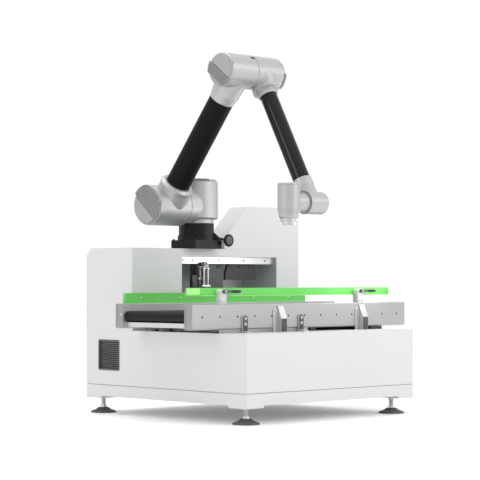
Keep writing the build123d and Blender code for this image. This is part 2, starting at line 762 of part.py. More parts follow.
elbow_left = 154
elbow_seam = 335
elbow_right = 512
elbow_root_radius = 81
elbow_sleeve_radius = 73
elbow_sleeve = 44
with BuildPart() as elbow_housing:
    with BuildSketch(Plane.YZ.offset(left_x + elbow_left)):
        with Locations((elbow_y, elbow_z)):
            Circle(elbow_radius)
    extrude(amount=elbow_seam - joint_gap - elbow_left)
    chamfer(elbow_housing.edges().group_by(Axis.X)[0], housing_bevel)
    with BuildSketch(upper_plane.offset(upper_length)):
        Circle(elbow_root_radius)
    with BuildSketch(upper_plane.offset(upper_length - upper_tube_end + elbow_sleeve)):
        Circle(elbow_sleeve_radius)
    loft(ruled=True)
    with BuildSketch(upper_plane.offset(upper_length - upper_tube_end + elbow_sleeve)):
        Circle(elbow_sleeve_radius)
    with BuildSketch(upper_plane.offset(upper_length - upper_tube_end)):
        Circle(upper_tube_radius + 2)
    loft(ruled=True)
    with BuildSketch(Plane.YZ.offset(left_x + elbow_seam - joint_gap)):
        with Locations((elbow_y, elbow_z)):
            Rectangle(4 * elbow_radius, 4 * elbow_radius)
    extrude(amount=elbow_radius, mode=Mode.SUBTRACT)
    with BuildSketch(Plane.YZ.offset(left_x + elbow_seam - joint_gap)):
        with Locations((elbow_y, elbow_z)):
            Circle(elbow_radius * spigot_share + spigot_clearance)
    extrude(amount=-(spigot_length + 1), mode=Mode.SUBTRACT)
elbow_housing.part.label = "elbow_housing"
export_step(elbow_housing.part, "parts/elbow_housing.step")

# Forearm: elbow head with a tapered branch, a flange and a collar, thinner black tube, wrist housing
wrist_y = front_y - wrist_forward
fore_dy = wrist_y - elbow_y
fore_dz = wrist_z - elbow_z
fore_length = math.hypot(fore_dy, fore_dz)
fore_direction = (0, fore_dy / fore_length, fore_dz / fore_length)
forearm_x = left_x + forearm_plane_x
elbow_centre = (forearm_x, elbow_y, elbow_z)
fore_plane = Plane(origin=elbow_centre, x_dir=(1, 0, 0), z_dir=fore_direction)
fore_branch = 135
fore_collar = 30
fore_collar_radius = 51
fore_collar_bevel = 4
fore_flange = 14
fore_flange_radius = 69
fore_branch_radius = 65
fore_root_radius = 81
fore_tube_end = 128
with BuildPart() as elbow_head:
    with BuildSketch(Plane.YZ.offset(left_x + elbow_seam)):
        with Locations((elbow_y, elbow_z)):
            Circle(elbow_radius)
    extrude(amount=elbow_right - elbow_seam)
    chamfer(elbow_head.edges().group_by(Axis.X)[-1], housing_bevel)
    with BuildSketch(Plane.YZ.offset(left_x + elbow_seam)):
        with Locations((elbow_y, elbow_z)):
            Circle(elbow_radius * spigot_share)
    extrude(amount=-spigot_length)
    with BuildSketch(fore_plane):
        Circle(fore_root_radius)
    with BuildSketch(fore_plane.offset(fore_branch - fore_collar - fore_flange)):
        Circle(fore_branch_radius)
    loft(ruled=True)
    with BuildSketch(fore_plane.offset(fore_branch - fore_collar - fore_flange)):
        Circle(fore_flange_radius)
    extrude(amount=fore_flange)
    with BuildSketch(fore_plane.offset(fore_branch - fore_collar)):
        Circle(fore_collar_radius)
    extrude(amount=fore_collar)
    fore_axis = Axis(elbow_centre, fore_direction)
    chamfer(elbow_head.edges().group_by(fore_axis)[-1], fore_collar_bevel)
elbow_head.part.label = "elbow_head"
export_step(elbow_head.part, "parts/elbow_head.step")

with BuildPart() as forearm_tube:
    with BuildSketch(fore_plane.offset(fore_branch)):
        Circle(forearm_tube_radius)
    extrude(amount=fore_length - fore_branch - fore_tube_end)
forearm_tube.part.label = "forearm_tube"
export_step(forearm_tube.part, "parts/forearm_tube.step")

wrist_left = 366
wrist_right = 483
wrist_spigot = 34
wrist_root_radius = 50
wrist_sleeve_radius = 48
wrist_sleeve = 46
with BuildPart() as wrist_housing:
    with BuildSketch(Plane.YZ.offset(left_x + wrist_left)):
        with Locations((wrist_y, wrist_z)):
            Circle(wrist_radius)
    extrude(amount=wrist_right - wrist_left)
    with BuildSketch(fore_plane.offset(fore_length)):
        Circle(wrist_root_radius)
    with BuildSketch(fore_plane.offset(fore_length - fore_tube_end + wrist_sleeve)):
        Circle(wrist_sleeve_radius - 2)
    loft(ruled=True)
    with BuildSketch(fore_plane.offset(fore_length - fore_tube_end)):
        Circle(wrist_sleeve_radius)
    extrude(amount=wrist_sleeve)
    with BuildSketch(Plane.YZ.offset(left_x + wrist_left)):
        with Locations((wrist_y, wrist_z)):
            Circle(wrist_spigot + spigot_clearance)
    extrude(amount=spigot_length + 1, mode=Mode.SUBTRACT)
wrist_housing.part.label = "wrist_housing"
export_step(wrist_housing.part, "parts/wrist_housing.step")

wrist_cap_depth = 12
wrist_cap_bevel = 8
with BuildPart() as wrist_cap:
    with BuildSketch(Plane.YZ.offset(left_x + wrist_right)):
        with Locations((wrist_y, wrist_z)):
            Circle(wrist_radius - 1)
    extrude(amount=wrist_cap_depth)
    chamfer(wrist_cap.edges().group_by(Axis.X)[-1], wrist_cap_bevel)
wrist_cap.part.label = "wrist_cap"
export_step(wrist_cap.part, "parts/wrist_cap.step")

# End caps of the large joints: a disc with a plain raised shield and a band of cooling fins that
# reach out to the housing's full radius
cap_base = 5
cap_depth = 15
cap_bevel = 3
shield_depth = 8
fin_pitch = 7.8
fin_width = 4.2
fin_overhang = housing_bevel
turret_fin_count = 20
shoulder_fin_count = 12
elbow_fin_count = 7
elbow_head_fin_count = 11
cap_list = (
    # name, centre, outward direction, fin direction, radius, first fin, fin count, shield side
    (
        "turret_cap",
        (arm_x, arm_y, turret_top_z),
        (0, 0, 1),
        (1, 1, 0),
        turret_radius - housing_bevel,
        -9,
        turret_fin_count,
        -1,
    ),
    (
        "shoulder_cap",
        (left_x + shoulder_end, arm_y, shoulder_z),
        (-1, 0, 0),
        (0, -0.757, -0.654),
        shoulder_radius - housing_bevel,
        -1,
        shoulder_fin_count,
        -1,
    ),
    (
        "elbow_cap",
        (left_x + elbow_left, elbow_y, elbow_z),
        (-1, 0, 0),
        (0, -0.79, -0.61),
        elbow_radius - housing_bevel,
        -7,
        elbow_fin_count,
        1,
    ),
    (
        "elbow_head_cap",
        (left_x + elbow_right, elbow_y, elbow_z),
        (1, 0, 0),
        (0, -0.87, -0.5),
        elbow_radius - housing_bevel,
        -5,
        elbow_head_fin_count,
        -1,
    ),
)
for name, centre, outward, along, cap_radius, first_fin, fin_count, shield_side in cap_list:
    cap_plane = Plane(origin=centre, x_dir=along, z_dir=outward)
    band_start = first_fin * fin_pitch
    band_end = band_start + (fin_count - 1) * fin_pitch
    if shield_side > 0:
        shield_edge = band_end + fin_pitch
    else:
        shield_edge = band_start - fin_pitch
    with BuildPart() as cap:
        with BuildSketch(cap_plane):
            Circle(cap_radius)
        extrude(amount=cap_base)
        with BuildSketch(cap_plane):
            for fin in range(fin_count):
                with Locations((0, band_start + fin * fin_pitch)):
                    Rectangle(4 * cap_radius, fin_width)
            Circle(cap_radius + fin_overhang, mode=Mode.INTERSECT)
        extrude(amount=cap_depth)
        with BuildSketch(cap_plane.offset(cap_base)):
            Circle(cap_radius - cap_bevel)
            with Locations((0, shield_edge - shield_side * cap_radius)):
                Rectangle(2 * cap_radius, 2 * cap_radius, mode=Mode.SUBTRACT)
        extrude(amount=shield_depth, taper=20)
    cap.part.label = name
    export_step(cap.part, "parts/" + name + ".step")

# Tool head: upright housing on a neck from the wrist, with stepped rings down to the tool flange
tool_x = left_x + tool_plane_x
tool_neck_radius = 46
head_top_z = wrist_z + 92
head_bottom_z = wrist_z - 48
head_bevel = 4
lower_ring_radius = 49
lower_ring_bottom_z = head_bottom_z - 32
lower_ring_bevel = 8
flange_spigot_radius = 26
with BuildPart() as tool_head:
    with BuildSketch(Plane.XY.offset(head_bottom_z)):
        with Locations((tool_x, wrist_y)):
            Circle(tool_head_radius)
    extrude(amount=head_top_z - head_bottom_z)
    chamfer(tool_head.edges().group_by(Axis.Z)[-1], head_bevel)
    with BuildSketch(Plane.XY.offset(lower_ring_bottom_z)):
        with Locations((tool_x, wrist_y)):
            Circle(lower_ring_radius)
    extrude(amount=head_bottom_z - lower_ring_bottom_z)
    chamfer(tool_head.edges().group_by(Axis.Z)[0], lower_ring_bevel)
    with BuildSketch(Plane.YZ.offset(tool_x)):
        with Locations((wrist_y, wrist_z)):
            Circle(tool_neck_radius)
    extrude(amount=wrist_left - joint_gap - tool_plane_x)
    with BuildSketch(Plane.YZ.offset(left_x + wrist_left - joint_gap)):
        with Locations((wrist_y, wrist_z)):
            Circle(wrist_spigot)
    extrude(amount=spigot_length)
    with BuildSketch(Plane.XY.offset(lower_ring_bottom_z)):
        with Locations((tool_x, wrist_y)):
            Circle(flange_spigot_radius + spigot_clearance)
    extrude(amount=13, mode=Mode.SUBTRACT)
tool_head.part.label = "tool_head"
export_step(tool_head.part, "parts/tool_head.step")

# Tool flange: stepped disc with the standard 50 mm bolt circle
step_radius = 41
step_bottom_z = lower_ring_bottom_z - 14
flange_face_radius = 32
flange_face_z = step_bottom_z - 16
bolt_circle_radius = 25
tapped_hole_radius = 2.5
centre_bore_radius = 15.75
with BuildPart() as tool_flange:
    with BuildSketch(Plane.XY.offset(step_bottom_z)):
        with Locations((tool_x, wrist_y)):
            Circle(step_radius)
    extrude(amount=lower_ring_bottom_z - joint_gap - step_bottom_z)
    with BuildSketch(Plane.XY.offset(flange_face_z)):
        with Locations((tool_x, wrist_y)):
            Circle(flange_face_radius)
    extrude(amount=step_bottom_z - flange_face_z)
    with BuildSketch(Plane.XY.offset(lower_ring_bottom_z - joint_gap)):
        with Locations((tool_x, wrist_y)):
            Circle(flange_spigot_radius)
    extrude(amount=12)
    with BuildSketch(Plane.XY.offset(flange_face_z)):
        with Locations((tool_x, wrist_y)):
            with PolarLocations(bolt_circle_radius, 4, start_angle=45):
                Circle(tapped_hole_radius)
    extrude(amount=12, mode=Mode.SUBTRACT)
    with BuildSketch(Plane.XY.offset(flange_face_z)):
        with Locations((tool_x, wrist_y)):
            Circle(centre_bore_radius)
    extrude(amount=6, mode=Mode.SUBTRACT)
tool_flange.part.label = "tool_flange"
export_step(tool_flange.part, "parts/tool_flange.step")
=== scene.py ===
import math

import bmesh
import bpy
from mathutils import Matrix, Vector


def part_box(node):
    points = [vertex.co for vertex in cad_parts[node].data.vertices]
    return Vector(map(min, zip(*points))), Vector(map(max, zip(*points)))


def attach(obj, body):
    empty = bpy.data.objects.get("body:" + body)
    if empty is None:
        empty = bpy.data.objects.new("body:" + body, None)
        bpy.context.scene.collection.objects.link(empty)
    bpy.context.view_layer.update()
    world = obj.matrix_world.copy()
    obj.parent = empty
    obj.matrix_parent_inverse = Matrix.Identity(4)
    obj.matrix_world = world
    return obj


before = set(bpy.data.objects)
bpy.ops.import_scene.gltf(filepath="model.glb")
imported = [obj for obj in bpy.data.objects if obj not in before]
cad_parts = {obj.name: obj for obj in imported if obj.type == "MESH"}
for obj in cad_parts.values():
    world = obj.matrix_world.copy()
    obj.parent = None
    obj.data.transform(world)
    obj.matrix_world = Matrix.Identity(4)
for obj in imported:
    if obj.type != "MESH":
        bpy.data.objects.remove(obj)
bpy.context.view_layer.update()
scene = bpy.context.scene

# Camera: stands about 8.2 m from the near corner of the base, level with the conveyor, and looks
# along the line between the front and the left side.
camera_data = bpy.data.cameras.new("camera")
camera_data.sensor_fit = "HORIZONTAL"
camera_data.sensor_width = 36.0
camera_data.lens = 130.07
camera = bpy.data.objects.new("camera", camera_data)
camera.location = (-6.2442, -6.4587, 0.684)
camera.rotation_euler = (math.radians(91.335), 0, math.radians(46.454 - 90))
scene.collection.objects.link(camera)
scene.camera = camera

# Studio: a white floor that runs into a white wall, a grey room behind the camera, and soft lights.
# The key light stands to the front right, so the front is brighter than the left side; a small one
# over the conveyor lights the folding bay.
scene.view_settings.view_transform = "Standard"
wall_direction = (0.725, 0.689, 0.0)
sky = bpy.data.worlds.new("studio sky")
sky.use_nodes = True
sky_nodes = sky.node_tree.nodes
look = sky_nodes.new("ShaderNodeTexCoord")
towards_wall = sky_nodes.new("ShaderNodeVectorMath")
towards_wall.operation = "DOT_PRODUCT"
towards_wall.inputs[1].default_value = wall_direction
wall_shade = sky_nodes.new("ShaderNodeMapRange")
wall_shade.interpolation_type = "SMOOTHSTEP"
wall_shade.inputs["From Min"].default_value = -0.2
wall_shade.inputs["From Max"].default_value = 0.5
wall_shade.inputs["To Min"].default_value = 0.6
wall_shade.inputs["To Max"].default_value = 1.02
look_height = sky_nodes.new("ShaderNodeSeparateXYZ")
ceiling_shade = sky_nodes.new("ShaderNodeMapRange")
ceiling_shade.interpolation_type = "SMOOTHSTEP"
ceiling_shade.inputs["From Min"].default_value = 0.1
ceiling_shade.inputs["From Max"].default_value = 0.8
ceiling_shade.inputs["To Min"].default_value = 0.0
ceiling_shade.inputs["To Max"].default_value = 1.1
brightest = sky_nodes.new("ShaderNodeMath")
brightest.operation = "MAXIMUM"
sky_link = sky.node_tree.links.new
sky_link(look.outputs["Generated"], towards_wall.inputs[0])
sky_link(look.outputs["Generated"], look_height.inputs["Vector"])
sky_link(towards_wall.outputs["Value"], wall_shade.inputs["Value"])
sky_link(look_height.outputs["Z"], ceiling_shade.inputs["Value"])
sky_link(wall_shade.outputs["Result"], brightest.inputs[0])
sky_link(ceiling_shade.outputs["Result"], brightest.inputs[1])
sky_link(brightest.outputs["Value"], sky_nodes["Background"].inputs["Color"])
scene.world = sky

floor_mesh = bpy.data.meshes.new("studio_floor")
floor_mesh.from_pydata([(-40, -40, 0), (40, -40, 0), (40, 40, 0), (-40, 40, 0)], [], [(0, 1, 2, 3)])
floor = bpy.data.objects.new("studio_floor", floor_mesh)
scene.collection.objects.link(floor)
floor_paint = bpy.data.materials.new("white floor")
floor_paint.use_nodes = True
floor_shader = floor_paint.node_tree.nodes["Principled BSDF"]
floor_shader.inputs["Base Color"].default_value = (0.93, 0.93, 0.925, 1)
floor_shader.inputs["Roughness"].default_value = 0.6
floor_shader.inputs["Emission Color"].default_value = (1, 1, 1, 1)
floor_shader.inputs["Emission Strength"].default_value = 0.08
floor_mesh.materials.append(floor_paint)

for name, spot, target, size, power in (
    ("key light", (3.4, -7.5, 4.2), (0, 0, 0.8), 3.6, 210),
    ("side light", (-7.5, 0.5, 3.6), (0, 0, 0.8), 3.0, 80),
    ("top light", (-0.5, 1.5, 6.5), (0, 0, 0.8), 4.0, 120),
    ("bay light", (0.55, -0.45, 0.85), (-0.35, 0.2, 0.70), 0.4, 1.4),
):
    lamp_data = bpy.data.lights.new(name, "AREA")
    lamp_data.size = size
    lamp_data.energy = power
    lamp = bpy.data.objects.new(name, lamp_data)
    lamp.location = spot
    lamp.rotation_euler = (Vector(target) - Vector(spot)).to_track_quat("-Z", "Y").to_euler()
    scene.collection.objects.link(lamp)

# Base, tray and rear cabinet: folded steel sheet with a white powder coat, screwed together along
# the seam above the tray. The coat has a fine orange peel, edges made lighter partly by rubbing and partly by
# painted highlight, and a little dust low down.
def effect_group(name, inputs, outputs):
    """A node group with named sockets, and its input and output nodes."""
    group = bpy.data.node_groups.new(name, "ShaderNodeTree")
    kinds = {"f": "NodeSocketFloat", "c": "NodeSocketColor", "v": "NodeSocketVector"}
    for label, kind, value in inputs:
        socket = group.interface.new_socket(label, in_out="INPUT", socket_type=kinds[kind])
        socket.default_value = value
    for label, kind in outputs:
        group.interface.new_socket(label, in_out="OUTPUT", socket_type=kinds[kind])
    return group, group.nodes.new("NodeGroupInput"), group.nodes.new("NodeGroupOutput")


def effect_node(group, kind, settings=(), values=()):
    """A node of an effect group with its settings and input values."""
    made = group.nodes.new("ShaderNode" + kind)
    for label, value in settings:
        setattr(made, label, value)
    for socket, value in values:
        made.inputs[socket].default_value = value
    return made


peel, peel_in, peel_out = effect_group(
    "orange peel and patches",
    [
        ("Peel Scale", "f", 420.0),
        ("Patch Scale", "f", 3.0),
        ("Light Color", "c", (1, 1, 1, 1)),
        ("Dark Color", "c", (0.8, 0.8, 0.8, 1)),
        ("Roughness", "f", 0.4),
        ("Roughness Spread", "f", 0.1),
    ],
    [("Color", "c"), ("Roughness", "f"), ("Height", "f")],
)
coords = effect_node(peel, "TexCoord")
fine = effect_node(peel, "TexNoise", values=[("Detail", 2.0)])
patch = effect_node(peel, "TexNoise", values=[("Detail", 4.0), ("Roughness", 0.6)])
blend = effect_node(peel, "Mix", [("data_type", "RGBA")])
spread = effect_node(peel, "Math", [("operation", "MULTIPLY_ADD")])
link = peel.links.new
link(coords.outputs["Object"], fine.inputs["Vector"])
link(coords.outputs["Object"], patch.inputs["Vector"])
link(peel_in.outputs["Peel Scale"], fine.inputs["Scale"])
link(peel_in.outputs["Patch Scale"], patch.inputs["Scale"])
link(patch.outputs["Fac"], blend.inputs["Factor"])
link(peel_in.outputs["Light Color"], blend.inputs[6])
link(peel_in.outputs["Dark Color"], blend.inputs[7])
link(patch.outputs["Fac"], spread.inputs[0])
link(peel_in.outputs["Roughness Spread"], spread.inputs[1])
link(peel_in.outputs["Roughness"], spread.inputs[2])
link(blend.outputs[2], peel_out.inputs["Color"])
link(spread.outputs[0], peel_out.inputs["Roughness"])
link(fine.outputs["Fac"], peel_out.inputs["Height"])

# Worn edges and painted highlight: the rounded arris of a folded or machined edge, lighter in short runs. The
# lighter colour is partly rubbed edges and partly a painted highlight for the light a rounded edge catches.
edge_wear_and_highlight, edge_effect_in, edge_effect_out = effect_group(
    "worn and highlighted round edges",
    [
        ("Color", "c", (0.8, 0.8, 0.8, 1)),
        ("Edge Color", "c", (0.9, 0.9, 0.9, 1)),
        ("Radius", "f", 0.002),
        ("Amount", "f", 0.3),
    ],
    [("Color", "c"), ("Normal", "v")],
)
rounded = effect_node(edge_wear_and_highlight, "Bevel", [("samples", 4)])
flat = effect_node(edge_wear_and_highlight, "NewGeometry")
same_way = effect_node(edge_wear_and_highlight, "VectorMath", [("operation", "DOT_PRODUCT")])
turn_away = effect_node(edge_wear_and_highlight, "MapRange", values=[("From Min", 0.995), ("From Max", 0.85)])
coords = effect_node(edge_wear_and_highlight, "TexCoord")
runs = effect_node(edge_wear_and_highlight, "TexNoise", values=[("Scale", 38.0), ("Detail", 3.0)])
broken = effect_node(edge_wear_and_highlight, "Math", [("operation", "MULTIPLY")])
amount = effect_node(edge_wear_and_highlight, "Math", [("operation", "MULTIPLY")])
blend = effect_node(edge_wear_and_highlight, "Mix", [("data_type", "RGBA")])
link = edge_wear_and_highlight.links.new
link(edge_effect_in.outputs["Radius"], rounded.inputs["Radius"])
link(rounded.outputs["Normal"], same_way.inputs[0])
link(flat.outputs["Normal"], same_way.inputs[1])
link(same_way.outputs["Value"], turn_away.inputs["Value"])
link(coords.outputs["Object"], runs.inputs["Vector"])
link(turn_away.outputs["Result"], broken.inputs[0])
link(runs.outputs["Fac"], broken.inputs[1])
link(broken.outputs[0], amount.inputs[0])
link(edge_effect_in.outputs["Amount"], amount.inputs[1])
link(amount.outputs[0], blend.inputs["Factor"])
link(edge_effect_in.outputs["Color"], blend.inputs[6])
link(edge_effect_in.outputs["Edge Color"], blend.inputs[7])
link(blend.outputs[2], edge_effect_out.inputs["Color"])
link(rounded.outputs["Normal"], edge_effect_out.inputs["Normal"])

# Floor dust: a faint grey film that thins out upwards and lies in cloudy patches.
dust, dust_in, dust_out = effect_group(
    "floor dust",
    [
        ("Color", "c", (0.8, 0.8, 0.8, 1)),
        ("Dust Color", "c", (0.5, 0.48, 0.45, 1)),
        ("Film Height", "f", 0.3),
        ("Amount", "f", 0.2),
    ],
    [("Color", "c"), ("Mask", "f")],
)
spot = effect_node(dust, "NewGeometry")
split = effect_node(dust, "SeparateXYZ")
share = effect_node(dust, "Math", [("operation", "DIVIDE")])
thin_out = effect_node(dust, "MapRange", values=[("To Min", 1.0), ("To Max", 0.0)])
cloud = effect_node(dust, "TexNoise", values=[("Scale", 9.0), ("Detail", 5.0)])
cover = effect_node(dust, "Math", [("operation", "MULTIPLY")])
film = effect_node(dust, "Math", [("operation", "MULTIPLY")])
blend = effect_node(dust, "Mix", [("data_type", "RGBA")])
link = dust.links.new
link(spot.outputs["Position"], split.inputs[0])
link(spot.outputs["Position"], cloud.inputs["Vector"])
link(split.outputs["Z"], share.inputs[0])
link(dust_in.outputs["Film Height"], share.inputs[1])
link(share.outputs[0], thin_out.inputs["Value"])
link(thin_out.outputs["Result"], cover.inputs[0])
link(cloud.outputs["Fac"], cover.inputs[1])
link(cover.outputs[0], film.inputs[0])
link(dust_in.outputs["Amount"], film.inputs[1])
link(film.outputs[0], blend.inputs["Factor"])
link(dust_in.outputs["Color"], blend.inputs[6])
link(dust_in.outputs["Dust Color"], blend.inputs[7])
link(blend.outputs[2], dust_out.inputs["Color"])
link(film.outputs[0], dust_out.inputs["Mask"])


def finish(name, skin, values, edge=None, dusty=None, bump=0.1, depth=0.0004, **constants):
    """A Principled material: a skin effect, then worn edges with a painted highlight, then dust, with plain
    constants.
    """
    material = bpy.data.materials.new(name)
    material.use_nodes = True
    nodes = material.node_tree.nodes
    join = material.node_tree.links.new
    shader = nodes["Principled BSDF"]
    effect = nodes.new("ShaderNodeGroup")
    effect.node_tree = skin
    for label, value in values.items():
        effect.inputs[label].default_value = value
    relief = nodes.new("ShaderNodeBump")
    relief.inputs["Strength"].default_value = bump
    relief.inputs["Distance"].default_value = depth
    join(effect.outputs["Height"], relief.inputs["Height"])
    colour = effect.outputs["Color"]
    # Lighter edge colour: partly rubbed bare, partly a painted highlight where the rounded edge catches the
    # light.
    if edge:
        edge_colour, radius, edge_share = edge
        arris = nodes.new("ShaderNodeGroup")
        arris.node_tree = edge_wear_and_highlight
        arris.inputs["Edge Color"].default_value = edge_colour
        arris.inputs["Radius"].default_value = radius
        arris.inputs["Amount"].default_value = edge_share
        join(colour, arris.inputs["Color"])
        join(arris.outputs["Normal"], relief.inputs["Normal"])
        colour = arris.outputs["Color"]
    if dusty:
        dust_colour, height, share_dusty = dusty
        veil = nodes.new("ShaderNodeGroup")
        veil.node_tree = dust
        veil.inputs["Dust Color"].default_value = dust_colour
        veil.inputs["Film Height"].default_value = height
        veil.inputs["Amount"].default_value = share_dusty
        join(colour, veil.inputs["Color"])
        colour = veil.outputs["Color"]
    join(colour, shader.inputs["Base Color"])
    join(effect.outputs["Roughness"], shader.inputs["Roughness"])
    join(relief.outputs["Normal"], shader.inputs["Normal"])
    for label, value in constants.items():
        shader.inputs[label.replace("_", " ")].default_value = value
    return material


def coat(light, dark, roughness, spread, fine, patches):
    """The values of the orange-peel effect, from plain colours and scales."""
    return {
        "Peel Scale": float(fine),
        "Patch Scale": float(patches),
        "Light Color": (*light, 1),
        "Dark Color": (*dark, 1),
        "Roughness": roughness,
        "Roughness Spread": spread,
    }


def dress(material, *names):
    """Gives CAD nodes a finished material in place of their plain one."""
    for name in names:
        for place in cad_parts[name].material_slots:
            place.material = material


white_paint = finish(
    "white powder coat",
    peel,
    coat(
        light=(0.680, 0.688, 0.690), dark=(0.645, 0.653, 0.655),
        roughness=0.34, spread=0.12, fine=380, patches=2.2,
    ),
    edge=((0.9, 0.9, 0.9, 1), 0.003, 0.6),
    dusty=((0.55, 0.54, 0.52, 1), 0.42, 0.12),
    bump=0.12,
    Coat_Weight=0.12,
    Coat_Roughness=0.3,
)
dress(white_paint, "base_tray", "base_cabinet", "upper_cabinet", "hood")

# Service doors on the rear and the right side, which the photographed side doesn't show: flat coated
# lids on a dark gasket, held by quarter-turn latches with a screwdriver slot.
def turned(shape, profile, centre, axis, steps=32, hexed=()):
    """Adds a turned solid: profile holds (radius, place along the axis), hexed the six-sided rings."""
    stand = Vector(axis).to_track_quat("Z", "Y").to_matrix()
    rings = []
    for number, (radius, along) in enumerate(profile):
        ring = []
        for step in range(steps if radius > 0 else 1):
            angle = 2 * math.pi * step / steps
            reach = radius
            if number in hexed:
                reach = radius / math.cos((angle % (math.pi / 3)) - math.pi / 6)
            offset = Vector((reach * math.cos(angle), reach * math.sin(angle), along))
            ring.append(shape.verts.new(Vector(centre) + stand @ offset))
        rings.append(ring)
    for low, high in zip(rings, rings[1:]):
        for step in range(steps):
            after = (step + 1) % steps
            corners = (
                low[step % len(low)],
                low[after % len(low)],
                high[after % len(high)],
                high[step % len(high)],
            )
            face = list(dict.fromkeys(corners))
            if len(face) > 2:
                shape.faces.new(face)


def disc(radius, height, bevel=0.0005):
    """The profile of a turned disc with a bevelled front rim."""
    return [(0, height), (radius - bevel, height), (radius, height - bevel), (radius, 0), (0, 0)]


def pressed(shape, outline, centre, across, outward, depth, bevel=0.0):
    """Adds a flat outline (metres across and up) as a solid of that depth with a rounded front rim."""
    out = Vector(outward).normalized()
    right = Vector(across).normalized()
    up = out.cross(right)
    corners = [shape.verts.new(Vector(centre) + right * x + up * y) for x, y in outline]
    back = shape.faces.new(corners)
    made = bmesh.ops.extrude_face_region(shape, geom=[back])["geom"]
    front = {part for part in made if isinstance(part, bmesh.types.BMVert)}
    bmesh.ops.translate(shape, verts=list(front), vec=out * depth)
    if not back.is_valid:
        shape.faces.new(corners)
    if bevel:
        rim = {e for v in front for e in v.link_edges if e.other_vert(v) in front}
        bmesh.ops.bevel(shape, geom=list(rim), offset=bevel, segments=2, profile=0.6, affect="EDGES")


def round_corners(width, height, radius, steps=5):
    """The outline of a rectangle with rounded corners, centred on its middle."""
    outline = []
    for side_x, side_y, start in ((1, 1, 0), (-1, 1, 90), (-1, -1, 180), (1, -1, 270)):
        for step in range(steps + 1):
            angle = math.radians(start + 90 * step / steps)
            outline.append(
                (
                    side_x * (width / 2 - radius) + radius * math.cos(angle),
                    side_y * (height / 2 - radius) + radius * math.sin(angle),
                )
            )
    return outline


def disc_outline(radius, steps=24, start=0.0, end=360.0):
    """Points along a circle or an arc of it."""
    count = steps if end - start >= 360 else steps + 1
    return [
        (
            radius * math.cos(math.radians(start + (end - start) * step / steps)),
            radius * math.sin(math.radians(start + (end - start) * step / steps)),
        )
        for step in range(count)
    ]


def fit(name, shape, material, body):
    """Turns a drawn shape into a named piece with its finish, and fixes it to a body."""
    bmesh.ops.recalc_face_normals(shape, faces=shape.faces)
    mesh = bpy.data.meshes.new(name)
    shape.to_mesh(mesh)
    shape.free()
    mesh.shade_smooth()
    mesh.set_sharp_from_angle(angle=math.radians(32))
    mesh.materials.append(material)
    piece = bpy.data.objects.new(name, mesh)
    scene.collection.objects.link(piece)
    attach(piece, body)
    return piece


base_low, base_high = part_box("base_cabinet")
rear_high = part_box("upper_cabinet")[1]
gasket_black = finish(
    "black gasket",
    peel,
    coat(
        light=(0.05, 0.05, 0.05), dark=(0.03, 0.03, 0.03),
        roughness=0.6, spread=0.2, fine=900, patches=20,
    ),
    bump=0.2,
)
lid_gap = 0.003
lid_thickness = 0.0012
for name, middle, across, outward, width, height in (
    ("rear_door_upper", (0, rear_high.y, 0.625), (-1, 0, 0), (0, 1, 0), 1.02, 0.30),
    ("rear_door_lower", (0, base_high.y, 0.290), (-1, 0, 0), (0, 1, 0), 1.02, 0.20),
    ("right_door", (base_high.x, 0.30, 0.290), (0, 1, 0), (1, 0, 0), 0.42, 0.20),
):
    gasket = bmesh.new()
    outline = round_corners(width + 2 * lid_gap, height + 2 * lid_gap, 0.014)
    pressed(gasket, outline, middle, across, outward, 0.0004)
    fit(name + "_gasket", gasket, gasket_black, "frame")
    lid = bmesh.new()
    pressed(lid, round_corners(width, height, 0.012), middle, across, outward, lid_thickness, 0.0008)
    fit(name, lid, white_paint, "frame")

# Levelling feet: black rubber-soled pads, and zinc-plated stems with a rolled thread between the
# hexagon on the pad and the jam nut under the tray.
rubber = finish(
    "black rubber",
    peel,
    coat(
        light=(0.035, 0.035, 0.036), dark=(0.018, 0.018, 0.018),
        roughness=0.45, spread=0.2, fine=900, patches=14,
    ),
    edge=((0.12, 0.12, 0.12, 1), 0.002, 0.5),
    dusty=((0.4, 0.39, 0.37, 1), 0.05, 0.35),
    bump=0.25,
    depth=0.0005,
)
streaks, streaks_in, streaks_out = effect_group(
    "brushed streaks",
    [
        ("Stretch", "v", (2.0, 400.0, 400.0)),
        ("Light Color", "c", (0.8, 0.8, 0.8, 1)),
        ("Dark Color", "c", (0.6, 0.6, 0.6, 1)),
        ("Roughness", "f", 0.3),
        ("Roughness Spread", "f", 0.2),
    ],
    [("Color", "c"), ("Roughness", "f"), ("Height", "f")],
)
coords = effect_node(streaks, "TexCoord")
stretch = effect_node(streaks, "VectorMath", [("operation", "MULTIPLY")])
lines = effect_node(
    streaks, "TexNoise", values=[("Scale", 1.0), ("Detail", 5.0), ("Roughness", 0.65)]
)
blend = effect_node(streaks, "Mix", [("data_type", "RGBA")])
spread = effect_node(streaks, "Math", [("operation", "MULTIPLY_ADD")])
link = streaks.links.new
link(coords.outputs["Object"], stretch.inputs[0])
link(streaks_in.outputs["Stretch"], stretch.inputs[1])
link(stretch.outputs[0], lines.inputs["Vector"])
link(lines.outputs["Fac"], blend.inputs["Factor"])
link(streaks_in.outputs["Light Color"], blend.inputs[6])
link(streaks_in.outputs["Dark Color"], blend.inputs[7])
link(lines.outputs["Fac"], spread.inputs[0])
link(streaks_in.outputs["Roughness Spread"], spread.inputs[1])
link(streaks_in.outputs["Roughness"], spread.inputs[2])
link(blend.outputs[2], streaks_out.inputs["Color"])
link(spread.outputs[0], streaks_out.inputs["Roughness"])
link(lines.outputs["Fac"], streaks_out.inputs["Height"])


def brushing(light, dark, roughness, spread, stretch):
    """The values of the brushed effect; a small stretch runs along the brushing."""
    return {
        "Stretch": stretch,
        "Light Color": (*light, 1),
        "Dark Color": (*dark, 1),
        "Roughness": roughness,
        "Roughness Spread": spread,
    }


